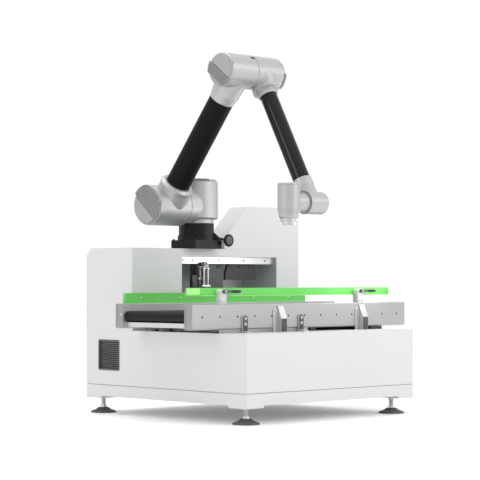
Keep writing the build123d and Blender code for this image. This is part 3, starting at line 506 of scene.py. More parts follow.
zinc = finish(
    "zinc-plated steel",
    streaks,
    brushing(
        light=(0.74, 0.74, 0.72), dark=(0.5, 0.5, 0.5),
        roughness=0.22, spread=0.25, stretch=(300.0, 300.0, 6.0),
    ),
    edge=((0.85, 0.85, 0.84, 1), 0.0008, 0.5),
    Metallic=1.0,
)
thread_pitch = 0.0025
thread_depth = 0.001
thread_radius = 0.0118
for corner in ("front_left", "front_right", "rear_left", "rear_right"):
    dress(rubber, "foot_pad_" + corner)
    dress(zinc, "foot_stem_" + corner)
    low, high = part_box("foot_stem_" + corner)
    thread_start = low.z + 0.0135
    turns = int((high.z - 0.0075 - thread_start) / thread_pitch)
    profile = [(thread_radius - thread_depth, 0.0)]
    for number in range(turns):
        profile.append((thread_radius, (number + 0.5) * thread_pitch))
        profile.append((thread_radius - thread_depth, (number + 1) * thread_pitch))
    thread = bmesh.new()
    middle = ((low.x + high.x) / 2, (low.y + high.y) / 2, thread_start)
    turned(thread, [(0, 0), *profile, (0, turns * thread_pitch)], middle, (0, 0, 1), 28)
    fit("foot_thread_" + corner, thread, zinc, "frame")

# Latches of the service doors: zinc-plated discs with a slot for a screwdriver.
latches = bmesh.new()
for side_x in (-1, 1):
    for spot, outward in (
        ((side_x * 0.44, rear_high.y + lid_thickness, 0.625), (0, 1, 0)),
        ((side_x * 0.44, base_high.y + lid_thickness, 0.290), (0, 1, 0)),
        ((base_high.x + lid_thickness, 0.30 + side_x * 0.17, 0.290), (1, 0, 0)),
    ):
        rim = [(0, 0.0014), (0.0085, 0.0014), (0.009, 0.0022), (0.0118, 0.0022), (0.013, 0.001), (0.013, 0)]
        turned(latches, [*rim, (0, 0)], spot, outward, 28)
        across = (1, 0, 0) if outward[1] else (0, 1, 0)
        start = Vector(spot) + 0.001 * Vector(outward)
        pressed(latches, round_corners(0.004, 0.014, 0.0015, 2), start, across, outward, 0.0012, 0.0003)
fit("door_latches", latches, zinc, "frame")

# Louvre on the left side: a moulded dark grey grille with sloping slats, held by four small screws in
# its corners.
dark_plastic = finish(
    "dark grey plastic",
    peel,
    coat(
        light=(0.10, 0.10, 0.105), dark=(0.065, 0.065, 0.07),
        roughness=0.42, spread=0.15, fine=700, patches=10,
    ),
    edge=((0.2, 0.2, 0.2, 1), 0.0008, 0.5),
    bump=0.15,
)
dress(dark_plastic, "vent_grille")


def socket_screw(shape, centre, axis, radius, height):
    """Adds a cylinder-head screw with a six-sided socket."""
    turned(
        shape,
        [
            (0, height * 0.35),
            (radius * 0.5, height * 0.35),
            (radius * 0.5, height),
            (radius * 0.88, height),
            (radius, height * 0.85),
            (radius, 0),
            (0, 0),
        ],
        centre,
        axis,
        24,
        hexed=(1, 2),
    )


vent_low, vent_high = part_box("vent_grille")
vent_screws = bmesh.new()
for side_y in (vent_low.y + 0.0036, vent_high.y - 0.0036):
    for side_z in (vent_low.z + 0.0036, vent_high.z - 0.0036):
        socket_screw(vent_screws, (vent_low.x + 0.0002, side_y, side_z), (-1, 0, 0), 0.0026, 0.0012)
fit("vent_screws", vent_screws, zinc, "frame")

# Conveyor channels: extruded aluminium with a light satin finish, closed at both ends by grey plates,
# and a row of black screws sunk into the front one.
channel_metal = finish(
    "satin aluminium channel",
    streaks,
    brushing(
        light=(0.50, 0.50, 0.505), dark=(0.42, 0.42, 0.425),
        roughness=0.3, spread=0.2, stretch=(3.0, 260.0, 260.0),
    ),
    edge=((0.95, 0.95, 0.95, 1), 0.0015, 0.8),
    Metallic=0.6,
)
dress(channel_metal, "front_channel", "rear_channel")
end_metal = finish(
    "grey end plate",
    streaks,
    brushing(
        light=(0.38, 0.385, 0.39), dark=(0.30, 0.305, 0.31),
        roughness=0.4, spread=0.2, stretch=(260.0, 260.0, 3.0),
    ),
    edge=((0.7, 0.7, 0.7, 1), 0.001, 0.7),
    Metallic=0.5,
)
channel_front_low, channel_front_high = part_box("front_channel")
channel_rear_low, channel_rear_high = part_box("rear_channel")
end_thickness = 0.001
end_corner = 0.008
for side, low, high in (
    ("front", channel_front_low, channel_front_high),
    ("rear", channel_rear_low, channel_rear_high),
):
    wide = high.y - low.y - 0.001
    tall = high.z - low.z - 0.001
    outline = [(wide / 2, tall / 2), (-wide / 2, tall / 2)]
    outline += [
        (
            side_y * (wide / 2 - end_corner) + end_corner * math.cos(math.radians(angle)),
            end_corner - tall / 2 + end_corner * math.sin(math.radians(angle)),
        )
        for side_y, angles in ((-1, range(180, 271, 15)), (1, range(270, 361, 15)))
        for angle in angles
    ]
    for end, face_x, outward, across in (
        ("left", low.x, (-1, 0, 0), (0, -1, 0)),
        ("right", high.x, (1, 0, 0), (0, 1, 0)),
    ):
        plate = bmesh.new()
        middle = (face_x, (low.y + high.y) / 2, (low.z + high.z) / 2)
        pressed(plate, outline, middle, across, outward, end_thickness, 0.0004)
        fit(side + "_channel_" + end + "_end", plate, end_metal, "frame")

# Screws of the front channel: black socket screws that hold the bearing strip inside, set in their
# thirteen holes. A bright hexagon bolt sits on each end plate of the rear channel, and a thin black
# strip of painted shade marks the fold line down the end plates of both channels.
black_oxide = finish(
    "black screw steel",
    peel,
    coat(
        light=(0.03, 0.03, 0.032), dark=(0.015, 0.015, 0.016),
        roughness=0.35, spread=0.2, fine=900, patches=30,
    ),
    edge=((0.1, 0.1, 0.1, 1), 0.0005, 0.5),
    Metallic=0.5,
)
forward = (0, -1, 0)
along_x = (1, 0, 0)
hole_count = 13
hole_pitch = 0.116
hole_drop = 0.060
hole_depth = 0.010
hole_z = channel_front_high.z - hole_drop
screws = bmesh.new()
for number in range(hole_count):
    place_x = (number - (hole_count - 1) / 2) * hole_pitch
    spot = (place_x, channel_front_low.y + hole_depth - 0.0003, hole_z)
    socket_screw(screws, spot, forward, 0.0047, 0.0085)
fit("channel_screws", screws, black_oxide, "frame")

ends = ((channel_rear_low.x - end_thickness, -1), (channel_rear_high.x + end_thickness, 1))
axle_drop = 0.053
axle_bolts = bmesh.new()
for face_x, side in ends:
    spot = (face_x, channel_rear_low.y + 0.012, channel_rear_high.z - axle_drop)
    head = [(0, 0.004), (0.0042, 0.004), (0.005, 0.0034), (0.005, 0.0012)]
    profile = [*head, (0.0075, 0.001), (0.0075, 0), (0, 0)]
    turned(axle_bolts, profile, spot, (side, 0, 0), 24, hexed=(1, 2, 3))
fit("axle_bolts", axle_bolts, zinc, "frame")
# Thin black strips on the end plates: painted shade along the fold lines.
fold_shade_strips = bmesh.new()
for low, high in ((channel_rear_low, channel_rear_high), (channel_front_low, channel_front_high)):
    for face_x, side in ends:
        middle = (face_x, high.y - 0.012, (low.z + high.z) / 2)
        pressed(fold_shade_strips, round_corners(0.0022, 0.100, 0.001, 2), middle, (0, side, 0), (side, 0, 0), 0.0003)
fit("end_fold_shade_lines", fold_shade_strips, gasket_black, "frame")

# Belt: black rubber over a woven carrier, whose weave shows faintly on its face. It runs over two
# steel end rollers and a slider bed, with a folded stainless tray underneath.
weave, weave_in, weave_out = effect_group(
    "belt weave",
    [
        ("Thread Scale", "f", 120.0),
        ("Light Color", "c", (0.05, 0.05, 0.05, 1)),
        ("Dark Color", "c", (0.02, 0.02, 0.02, 1)),
        ("Roughness", "f", 0.4),
        ("Roughness Spread", "f", 0.2),
    ],
    [("Color", "c"), ("Roughness", "f"), ("Height", "f")],
)
coords = effect_node(weave, "TexCoord")
warp = effect_node(weave, "TexWave", [("bands_direction", "X")])
weft = effect_node(weave, "TexWave", [("bands_direction", "Y")])
crossing = effect_node(weave, "Math", [("operation", "MULTIPLY")])
scuffs = effect_node(weave, "TexNoise", values=[("Scale", 1.0), ("Detail", 5.0)])
along = effect_node(weave, "VectorMath", [("operation", "MULTIPLY")], [(1, (1.5, 26.0, 26.0))])
blend = effect_node(weave, "Mix", [("data_type", "RGBA")])
spread = effect_node(weave, "Math", [("operation", "MULTIPLY_ADD")])
link = weave.links.new
for bands in (warp, weft):
    link(coords.outputs["Object"], bands.inputs["Vector"])
    link(weave_in.outputs["Thread Scale"], bands.inputs["Scale"])
link(warp.outputs["Fac"], crossing.inputs[0])
link(weft.outputs["Fac"], crossing.inputs[1])
link(coords.outputs["Object"], along.inputs[0])
link(along.outputs[0], scuffs.inputs["Vector"])
link(scuffs.outputs["Fac"], blend.inputs["Factor"])
link(weave_in.outputs["Dark Color"], blend.inputs[6])
link(weave_in.outputs["Light Color"], blend.inputs[7])
link(scuffs.outputs["Fac"], spread.inputs[0])
link(weave_in.outputs["Roughness Spread"], spread.inputs[1])
link(weave_in.outputs["Roughness"], spread.inputs[2])
link(blend.outputs[2], weave_out.inputs["Color"])
link(spread.outputs[0], weave_out.inputs["Roughness"])
link(crossing.outputs[0], weave_out.inputs["Height"])
belt_rubber = finish(
    "black woven belt",
    weave,
    {
        "Thread Scale": 125.0,
        "Light Color": (0.016, 0.016, 0.017, 1),
        "Dark Color": (0.006, 0.006, 0.007, 1),
        "Roughness": 0.42,
        "Roughness Spread": 0.2,
    },
    bump=0.35,
    depth=0.0004,
    Specular_IOR_Level=0.15,
)
dress(belt_rubber, "belt")
stainless = finish(
    "brushed stainless steel",
    streaks,
    brushing(
        light=(0.80, 0.80, 0.79), dark=(0.60, 0.60, 0.60),
        roughness=0.2, spread=0.25, stretch=(4.0, 500.0, 500.0),
    ),
    edge=((0.9, 0.9, 0.9, 1), 0.001, 0.5),
    Metallic=1.0,
)
dress(stainless, "return_tray", "slider_bed", "left_end_roller", "right_end_roller")

# Belt splice: a finger joint across the belt that shows as one thin zigzag line.
belt_low, belt_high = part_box("belt")
splice = bmesh.new()
fingers = 28
finger_pitch = (belt_high.y - belt_low.y) / fingers
line_half = 0.0006
for finger in range(fingers):
    side = 1 if finger % 2 else -1
    start = Vector((0.52 - side * 0.012, belt_low.y + finger * finger_pitch, belt_high.z))
    end = Vector((0.52 + side * 0.012, belt_low.y + (finger + 1) * finger_pitch, belt_high.z))
    thick = Vector((line_half, 0, 0))
    lift = Vector((0, 0, 0.0002))
    corners = [splice.verts.new(v) for v in (start - thick, start + thick, end + thick, end - thick)]
    raised = [splice.verts.new(v.co + lift) for v in corners]
    splice.faces.new(raised)
    splice.faces.new(corners[::-1])
    for step in range(4):
        after = (step + 1) % 4
        splice.faces.new((corners[step], corners[after], raised[after], raised[step]))
fit("belt_splice", splice, gasket_black, "frame")

# Support under the conveyor: slotted aluminium profiles across, a bright slotted steel strip along the
# front, and black rubber buffers between base and tray.
profile_metal = finish(
    "mill-finish profile",
    streaks,
    brushing(
        light=(0.6, 0.6, 0.6), dark=(0.42, 0.42, 0.42),
        roughness=0.28, spread=0.25, stretch=(260.0, 6.0, 260.0),
    ),
    edge=((0.85, 0.85, 0.85, 1), 0.0008, 0.6),
    Metallic=0.9,
)
dress(profile_metal, "support_beam_left", "support_beam_middle", "support_beam_right")
deck_z = base_high.z
strip_front_y = channel_front_low.y + 0.0005
strip_height = channel_front_low.z - deck_z
strip_start, strip_end = -0.585, -0.05
strip_length = strip_end - strip_start
strip_middle_x = (strip_start + strip_end) / 2
strip_ribs = 4
strip = bmesh.new()
for rib in range(strip_ribs):
    rib_z = deck_z + 0.0022 + rib * (strip_height - 0.001) / strip_ribs
    middle = (strip_middle_x, strip_front_y + 0.004, rib_z)
    pressed(strip, round_corners(strip_length, 0.0026, 0.001, 2), middle, along_x, forward, 0.004, 0.0004)
web = round_corners(strip_length - 0.004, strip_height - 0.001, 0.0005, 1)
middle = (strip_middle_x, strip_front_y + 0.0055, deck_z + strip_height / 2)
pressed(strip, web, middle, along_x, forward, 0.0025)
fit("front_slotted_strip", strip, channel_metal, "frame")
buffers = bmesh.new()
tray_low_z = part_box("return_tray")[0].z
for spot, width, depth, height in (
    ((-0.588, 0.010, deck_z), 0.020, 0.048, tray_low_z - deck_z),
    ((-0.588, 0.105, deck_z), 0.020, 0.030, 0.012),
    ((0.068, channel_front_low.y + 0.022, deck_z), 0.040, 0.030, strip_height),
    ((0.545, channel_front_low.y + 0.024, deck_z), 0.088, 0.034, strip_height - 0.001),
):
    pressed(buffers, round_corners(width, depth, 0.003, 3), spot, (1, 0, 0), (0, 0, 1), height, 0.001)
fit("rubber_buffers", buffers, rubber, "frame")

# Brackets of the front channel: bright folded steel with a dark rubber facing on the front, and
# zinc-plated bolts with washers in the tabs' slots.
bracket_steel = finish(
    "bright bracket steel",
    streaks,
    brushing(
        light=(0.66, 0.66, 0.66), dark=(0.52, 0.52, 0.52),
        roughness=0.28, spread=0.2, stretch=(400.0, 400.0, 8.0),
    ),
    edge=((0.9, 0.9, 0.9, 1), 0.0012, 0.7),
    Metallic=0.7,
)
facing_grey = finish(
    "dark bracket facing",
    peel,
    coat(
        light=(0.085, 0.087, 0.09), dark=(0.05, 0.052, 0.055),
        roughness=0.38, spread=0.2, fine=800, patches=18,
    ),
    edge=((0.3, 0.3, 0.3, 1), 0.0008, 0.5),
    bump=0.2,
)


def washer_and_bolt(shape, spot, washer_radius, bolt_radius):
    """Adds a six-sided bolt head on a washer, facing forward."""
    turned(shape, disc(washer_radius, 0.0012), spot, forward, 28)
    rim = [(bolt_radius - 0.0008, 0.005), (bolt_radius, 0.0043), (bolt_radius, 0.001)]
    turned(shape, [(0, 0.005), *rim, (0, 0.001)], spot, forward, 24, hexed=(1, 2, 3))


facing_gap = 0.003
facing_thickness = 0.0012
tab_thickness = 0.008
ear_thickness = 0.004
bolts = bmesh.new()
for side in ("left", "right"):
    tab = "slotted_tab_" + side
    dress(bracket_steel, tab)
    low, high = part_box(tab)
    wide = high.x - low.x
    tab_x = (low.x + high.x) / 2
    tab_y = channel_front_low.y - tab_thickness
    facing = bmesh.new()
    half = wide / 2 - facing_gap
    foot_z = low.z + 0.008
    top_z = high.z - wide / 2
    outline = disc_outline(half, 16, 0, 180) + [(-half, foot_z - top_z), (half, foot_z - top_z)]
    pressed(facing, outline, (tab_x, tab_y, top_z), along_x, forward, facing_thickness, 0.0005)
    fit(tab + "_facing", facing, facing_grey, "frame")
    for drop in (0.020, 0.046):
        washer_and_bolt(bolts, (tab_x, tab_y - facing_thickness, high.z - drop), 0.0084, 0.0052)
    gusset = "gusset_bracket_" + side
    dress(bracket_steel, gusset)
    low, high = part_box(gusset)
    front_width = 0.040
    front_top = channel_front_high.z - 0.072
    cover = bmesh.new()
    middle = (high.x - front_width / 2, low.y, (low.z + front_top) / 2)
    outline = round_corners(front_width - facing_gap, front_top - low.z - facing_gap, 0.002, 3)
    pressed(cover, outline, middle, along_x, forward, facing_thickness, 0.0005)
    fit(gusset + "_facing", cover, facing_grey, "frame")
    ear = (low.x + 0.015, channel_front_low.y - ear_thickness, high.z - 0.025)
    washer_and_bolt(bolts, ear, 0.0078, 0.0048)
fit("bracket_bolts", bolts, zinc, "frame")

# Guide rails: bent strips of green coated steel. The front one has a lip and flared end faced with
# thin paler green sheets, painted highlight where they catch the light, and stands on two white clamps
# with black levers; the rear one stands on the rear channel.
green_coat = finish(
    "green rail coat",
    peel,
    coat(
        light=(0.17, 0.68, 0.13), dark=(0.12, 0.58, 0.09),
        roughness=0.3, spread=0.12, fine=500, patches=5,
    ),
    edge=((0.45, 0.85, 0.35, 1), 0.001, 0.8),
)
highlit_green = finish(
    "highlit green rail coat",
    peel,
    coat(
        light=(0.42, 0.88, 0.26), dark=(0.34, 0.80, 0.20),
        roughness=0.3, spread=0.12, fine=500, patches=5,
    ),
    edge=((0.7, 0.95, 0.5, 1), 0.001, 0.8),
)
dress(green_coat, "front_guide_rail", "rear_guide_rail")
rail_low, rail_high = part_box("front_guide_rail")
rail_face_y = rail_high.y - 0.003
flare_start_x = rail_low.x + 0.101
lip_reach = 0.009
flare_turn = 0.010 / 0.098
# A thin paler green strip on the front of the lip: painted highlight along the lip's edge.
lip = bmesh.new()
lip_run = rail_high.x - flare_start_x - 0.002
pressed(
    lip,
    round_corners(lip_run, 0.0032, 0.0012, 2),
    ((flare_start_x + rail_high.x) / 2, rail_face_y - lip_reach + 0.0002, rail_low.z + 0.0016),
    (1, 0, 0),
    forward,
    0.0006,
    0.0003,
)
fit("front_rail_lip_highlight", lip, highlit_green, "frame")
# A thin paler green sheet on the flared end: painted highlight, as the flare turns towards the light.
flare = bmesh.new()
flare_length = 0.094
flare_middle_x = flare_start_x - 0.049
flare_middle_y = rail_face_y - 0.0052
flare_dir = Vector((1, flare_turn, 0)).normalized()
flare_out = Vector((flare_turn, -1, 0)).normalized()
pressed(
    flare,
    round_corners(flare_length, rail_high.z - rail_low.z - 0.006, 0.003, 3),
    Vector((flare_middle_x, flare_middle_y, (rail_low.z + rail_high.z) / 2 + 0.001)) + flare_out * 0.0001,
    flare_dir,
    flare_out,
    0.0005,
    0.0003,
)
fit("front_rail_flare_highlight", flare, highlit_green, "frame")

rear_rail_low, rear_rail_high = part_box("rear_guide_rail")
cap_green = bmesh.new()
for face_x, side in ((rear_rail_low.x, -1), (rear_rail_high.x, 1)):
    middle = (face_x, (rear_rail_low.y + rear_rail_high.y) / 2, (rear_rail_low.z + rear_rail_high.z) / 2)
    wide = rear_rail_high.y - rear_rail_low.y
    tall = rear_rail_high.z - rear_rail_low.z
    outline = round_corners(wide, tall, 0.0015, 2)
    pressed(cap_green, outline, middle, (0, side, 0), (side, 0, 0), 0.002, 0.0008)
fit("rear_rail_end_caps", cap_green, green_coat, "frame")
rail_screws = bmesh.new()
for place_x in (-0.62, -0.36, -0.10, 0.16, 0.42):
    spot = (place_x, rear_rail_low.y, rear_rail_low.z + 0.026)
    turned(
        rail_screws,
        [(0, 0.0008), (0.0022, 0.0008), (0.0024, 0.0022), (0.0045, 0.0016), (0.0055, 0), (0, 0)],
        spot,
        forward,
        20,
        hexed=(1,),
    )
fit("rear_rail_screws", rail_screws, zinc, "frame")

dress(white_paint, "rail_bracket_left", "rail_bracket_right")
dress(dark_plastic, "clamp_lever_left", "clamp_lever_right")
clamp_parts = bmesh.new()
for side in ("left", "right"):
    low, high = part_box("clamp_lever_" + side)
    pivot = (low.x + 0.009, low.y - 0.0002, (low.z + high.z) / 2)
    turned(
        clamp_parts,
        [(0, 0.001), (0.0028, 0.001), (0.003, 0.0032), (0.0048, 0.0032), (0.006, 0.002), (0.006, 0), (0, 0)],
        pivot,
        forward,
        24,
        hexed=(1, 2),
    )
    block_low, block_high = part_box("rail_bracket_" + side)
    for side_x in (-0.012, 0.012):
        spot = ((block_low.x + block_high.x) / 2 + side_x, block_low.y, block_low.z + 0.012)
        socket_screw(clamp_parts, spot, forward, 0.0035, 0.0025)
fit("clamp_screws", clamp_parts, zinc, "frame")
grip_plastic = finish(
    "black lever grip",
    peel,
    coat(
        light=(0.04, 0.04, 0.042), dark=(0.02, 0.02, 0.022),
        roughness=0.35, spread=0.15, fine=800, patches=16,
    ),
    edge=((0.12, 0.12, 0.12, 1), 0.001, 0.5),
)
grips = bmesh.new()
for side in ("left", "right"):
    low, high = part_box("clamp_lever_" + side)
    middle_z = (low.z + high.z) / 2
    for rib in range(7):
        place_x = high.x - 0.012 - rib * 0.007
        turned(
            grips,
            [(0, 0), (0.0072, 0), (0.0080, 0.0012), (0.0080, 0.0024), (0.0072, 0.0036), (0, 0.0036)],
            (place_x, low.y + 0.007, middle_z),
            (-1, 0, 0),
            20,
        )
fit("lever_grip_ribs", grips, grip_plastic, "frame")

# Folding bay: a stainless cross beam carries two dark flap plates and a guided cylinder. A dark slide
# block, two bright rods, a white bush and a black buffer stand round the cylinder.
dress(stainless, "cross_beam")
flap_green_grey = finish(
    "dark green-grey plate",
    peel,
    coat(
        light=(0.055, 0.065, 0.06), dark=(0.03, 0.038, 0.035),
        roughness=0.3, spread=0.15, fine=800, patches=8,
    ),
    edge=((0.3, 0.33, 0.31, 1), 0.001, 0.6),
)
flap_black = finish(
    "black anodised plate",
    peel,
    coat(
        light=(0.02, 0.021, 0.022), dark=(0.010, 0.011, 0.012),
        roughness=0.35, spread=0.15, fine=800, patches=8,
    ),
    edge=((0.15, 0.15, 0.15, 1), 0.001, 0.6),
)
dress(flap_green_grey, "flap_plate_left")
dress(flap_black, "flap_plate_right")
cylinder_metal = finish(
    "grey anodised cylinder",
    streaks,
    brushing(
        light=(0.34, 0.35, 0.36), dark=(0.22, 0.23, 0.24),
        roughness=0.3, spread=0.2, stretch=(300.0, 300.0, 10.0),
    ),
    edge=((0.6, 0.6, 0.6, 1), 0.001, 0.6),
    Metallic=0.7,
)
dress(cylinder_metal, "flap_cylinder")
beam_low, beam_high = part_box("cross_beam")
beam_bolts = bmesh.new()
for place_x in (-0.235, -0.170, 0.02, 0.20, 0.36):
    spot = (place_x, beam_low.y, (beam_low.z + beam_high.z) / 2)
    turned(beam_bolts, disc(0.0075, 0.001), spot, forward, 24)
    socket_screw(beam_bolts, (spot[0], spot[1] - 0.001, spot[2]), forward, 0.0045, 0.0035)
fit("cross_beam_bolts", beam_bolts, zinc, "frame")
hinges = bmesh.new()
for side in ("left", "right"):
    low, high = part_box("flap_plate_" + side)
    inset = 0.035
    for place_x in (low.x + inset, (low.x + high.x) / 2, high.x - inset):
        middle = (place_x, low.y, high.z - 0.012)
        pressed(hinges, round_corners(0.030, 0.018, 0.003, 3), middle, (1, 0, 0), forward, 0.002, 0.0006)
        for side_x in (-0.008, 0.008):
            spot = (place_x + side_x, low.y - 0.002, high.z - 0.012)
            turned(hinges, disc(0.003, 0.0014), spot, forward, 16)
fit("flap_hinge_straps", hinges, flap_black, "frame")

bay_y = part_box("flap_cylinder")[0].y
slide = bmesh.new()
for place_x, middle_z, set_back, width, height, depth in (
    (-0.162, 0.676, 0.010, 0.034, 0.072, 0.020),
    (-0.129, 0.728, -0.001, 0.012, 0.056, 0.006),
    (-0.100, 0.728, -0.001, 0.012, 0.056, 0.004),
):
    outline = round_corners(width, height, 0.002, 2)
    pressed(slide, outline, (place_x, bay_y + set_back, middle_z), along_x, forward, depth, 0.001)
turned(slide, disc(0.011, 0.014, 0.002), (-0.113, bay_y - 0.001, 0.769), forward, 28)
fit("bay_slide_block", slide, flap_black, "frame")
rods = bmesh.new()
rod_y = bay_y - 0.008
rod_foot_z = 0.655
for place_x in (-0.098, -0.069):
    rod = [(0, 0), (0.004, 0), (0.005, 0.001), (0.005, 0.094), (0.004, 0.095), (0, 0.095)]
    turned(rods, rod, (place_x, rod_y, rod_foot_z), (0, 0, 1), 20)
    nut = [(0, 0), (0.0075, 0), (0.0085, 0.001), (0.0085, 0.007), (0.0075, 0.008), (0, 0.008)]
    turned(rods, nut, (place_x, rod_y, rod_foot_z + 0.087), (0, 0, 1), 24, hexed=(1, 2, 3, 4))
outline = round_corners(0.060, 0.010, 0.002, 2)
pressed(rods, outline, (-0.083, bay_y - 0.0005, rod_foot_z), along_x, forward, 0.014, 0.001)
fit("bay_guide_rods", rods, zinc, "frame")
bush = bmesh.new()
bush_spot = (-0.083, bay_y - 0.001, 0.771)
ring = [(0.0062, 0), (0.0062, 0.010), (0.007, 0.011), (0.012, 0.011), (0.013, 0.010), (0.013, 0), (0.0062, 0)]
turned(bush, ring, bush_spot, forward, 28)
fit("bay_bush", bush, white_paint, "frame")
# A black disc inside the bush: painted shade for the dark of its bore.
bore_shade_disc = bmesh.new()
turned(bore_shade_disc, disc(0.006, 0.007), bush_spot, forward, 24)
fit("bay_bush_bore_shade", bore_shade_disc, flap_black, "frame")

# Arm foot: black-painted steel plate and drum. Three socket screws hold the plate to the deck, eight
# small ones the flange to the plate, and a round black knob stands beside the fourth corner.
black_paint = finish(
    "black satin paint",
    peel,
    coat(
        light=(0.010, 0.010, 0.011), dark=(0.005, 0.005, 0.006),
        roughness=0.35, spread=0.15, fine=500, patches=8,
    ),
    edge=((0.06, 0.06, 0.06, 1), 0.0015, 0.6),
    bump=0.12,
    Specular_IOR_Level=0.22,
)
dress(black_paint, "arm_base_plate", "arm_base", "lock_knob")
plate_low, plate_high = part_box("arm_base_plate")
arm_x = (plate_low.x + plate_high.x) / 2
arm_y = (plate_low.y + plate_high.y) / 2
foot_screws = bmesh.new()
for side_x in (-1, 1):
    for side_y in (-1, 1):
        if (side_x, side_y) != (1, -1):
            spot = (arm_x + side_x * 0.084, arm_y + side_y * 0.084, plate_high.z)
            socket_screw(foot_screws, spot, (0, 0, 1), 0.0065, 0.006)
for number in range(8):
    angle = math.radians(22.5 + 45 * number)
    spot = (arm_x + 0.0957 * math.cos(angle), arm_y + 0.0957 * math.sin(angle), plate_high.z + 0.024)
    socket_screw(foot_screws, spot, (0, 0, 1), 0.0028, 0.003)
fit("arm_foot_screws", foot_screws, black_oxide, "frame")
knob_low, knob_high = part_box("lock_knob")
knob_details = bmesh.new()
knob_middle = ((knob_low.x + knob_high.x) / 2, knob_low.y, (knob_low.z + knob_high.z) / 2)
turned(
    knob_details,
    [(0, 0.0008), (0.009, 0.0008), (0.0095, 0.0015), (0.019, 0.0015), (0.021, 0.0006), (0.0215, 0), (0, 0)],
    knob_middle,
    forward,
    32,
)
fit("lock_knob_boss", knob_details, dark_plastic, "frame")
drum_rings = bmesh.new()
for ring_z, ring_radius in ((0.022, 0.0926), (0.058, 0.0926)):
    turned(
        drum_rings,
        [
            (ring_radius - 0.002, 0),
            (ring_radius, 0.0002),
            (ring_radius + 0.0006, 0.0008),
            (ring_radius + 0.0006, 0.0022),
            (ring_radius, 0.0028),
            (ring_radius - 0.002, 0.003),
            (ring_radius - 0.002, 0),
        ],
        (arm_x, arm_y, plate_high.z + ring_z),
        (0, 0, 1),
        64,
    )
fit("arm_drum_rings", drum_rings, black_paint, "frame")

# Arm housings: cast aluminium with a satin silver finish. Thin grey seals run round the seams at the
# turret, shoulder, elbow and wrist.
silver = finish(
    "satin silver housing",
    peel,
    coat(
        light=(0.50, 0.505, 0.51), dark=(0.44, 0.445, 0.45),
        roughness=0.40, spread=0.10, fine=700, patches=5,
    ),
    edge=((0.95, 0.95, 0.95, 1), 0.0025, 0.8),
    bump=0.08,
    Metallic=0.6,
)
dress(silver, "turret", "shoulder_housing", "elbow_housing", "elbow_head", "wrist_housing", "tool_head")
seal_rubber = finish(
    "grey joint seal",
    peel,
    coat(
        light=(0.22, 0.22, 0.225), dark=(0.15, 0.15, 0.155),
        roughness=0.55, spread=0.15, fine=900, patches=20,
    ),
    bump=0.15,
)


def seal_ring(shape, radius, width, centre, axis, proud=0.0005):
    """Adds a thin ring round a cylinder, standing a little proud of it."""
    turned(
        shape,
        [
            (radius - 0.002, 0),
            (radius + proud * 0.5, 0),
            (radius + proud, width * 0.25),
            (radius + proud, width * 0.75),
            (radius + proud * 0.5, width),
            (radius - 0.002, width),
            (radius - 0.002, 0),
        ],
        centre,
        axis,
        72,
    )


shoulder_z = 1.071
elbow_y, elbow_z = base_low.y + 0.337, 1.723
wrist_y, wrist_z = base_low.y - 0.023, 1.061
joint_middle = {
    "turret": (arm_x, arm_y, 0),
    "shoulder_housing": (0, arm_y, shoulder_z),
    "elbow_housing": (0, elbow_y, elbow_z),
    "wrist_housing": (0, wrist_y, wrist_z),
}
seals = (
    ("turret_seal", "turret", 0.091, "turret", (0, 0, 1)),
    ("shoulder_seal", "shoulder_housing", 0.104, "upper_arm", (-1, 0, 0)),
    ("elbow_seal", "elbow_housing", 0.085, "upper_arm", (-1, 0, 0)),
    ("wrist_seal", "wrist_housing", 0.055, "forearm", (1, 0, 0)),
)
for name, node, radius, body, away in seals:
    low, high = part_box(node)
    middle = Vector(joint_middle[node])
    if away[2]:
        middle.z = low.z
    else:
        middle.x = low.x if away[0] > 0 else high.x
    seal = bmesh.new()
    seal_ring(seal, radius, 0.003, middle, away)
    fit(name, seal, seal_rubber, body)

# Small black grub screws sit in a ring behind the shoulder and elbow caps. A black plate of painted
# shade stands for the notch at the top of the elbow's seam, and a thin line marks the cover of the turret.
def around_x(node, angle, radius, place_x):
    """A spot on a housing that lies along X, and the direction outwards from it."""
    middle = Vector(joint_middle[node])
    outward = Vector((0, math.cos(math.radians(angle)), math.sin(math.radians(angle))))
    return Vector((place_x, middle.y, middle.z)) + outward * radius, outward


for name, node, radius, place_x, body, first in (
    ("shoulder", "shoulder_housing", 0.104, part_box("shoulder_housing")[0].x + 0.006, "upper_arm", 172),
    ("elbow", "elbow_housing", 0.085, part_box("elbow_housing")[0].x + 0.006, "upper_arm", 162),
    ("elbow_head", "elbow_housing", 0.085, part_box("elbow_head")[1].x - 0.006, "forearm", 148),
):
    grubs = bmesh.new()
    for number in range(6):
        spot, outward = around_x(node, first + 60 * number, radius - 0.0006, place_x)
        socket_screw(grubs, spot, outward, 0.0032, 0.0011)
    fit(name + "_grub_screws", grubs, black_oxide, body)
# The black plate is painted shade: it stands for the dark of the notch at the seam's top.
notch = bmesh.new()
spot, outward = around_x("elbow_housing", 130, 0.0841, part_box("elbow_housing")[1].x - 0.017)
pressed(notch, round_corners(0.026, 0.016, 0.002, 3), spot, (1, 0, 0), outward, 0.0014, 0.0004)
fit("elbow_notch_shade", notch, black_oxide, "upper_arm")
cover_line = bmesh.new()
line_angle = math.radians(295)
outward = Vector((math.cos(line_angle), math.sin(line_angle), 0))
spot = Vector((arm_x, arm_y, 1.102)) + outward * 0.1137
outline = round_corners(0.0012, 0.180, 0.0005, 2)
pressed(cover_line, outline, spot, (-outward.y, outward.x, 0), outward, 0.0006)
fit("turret_cover_line", cover_line, seal_rubber, "turret")
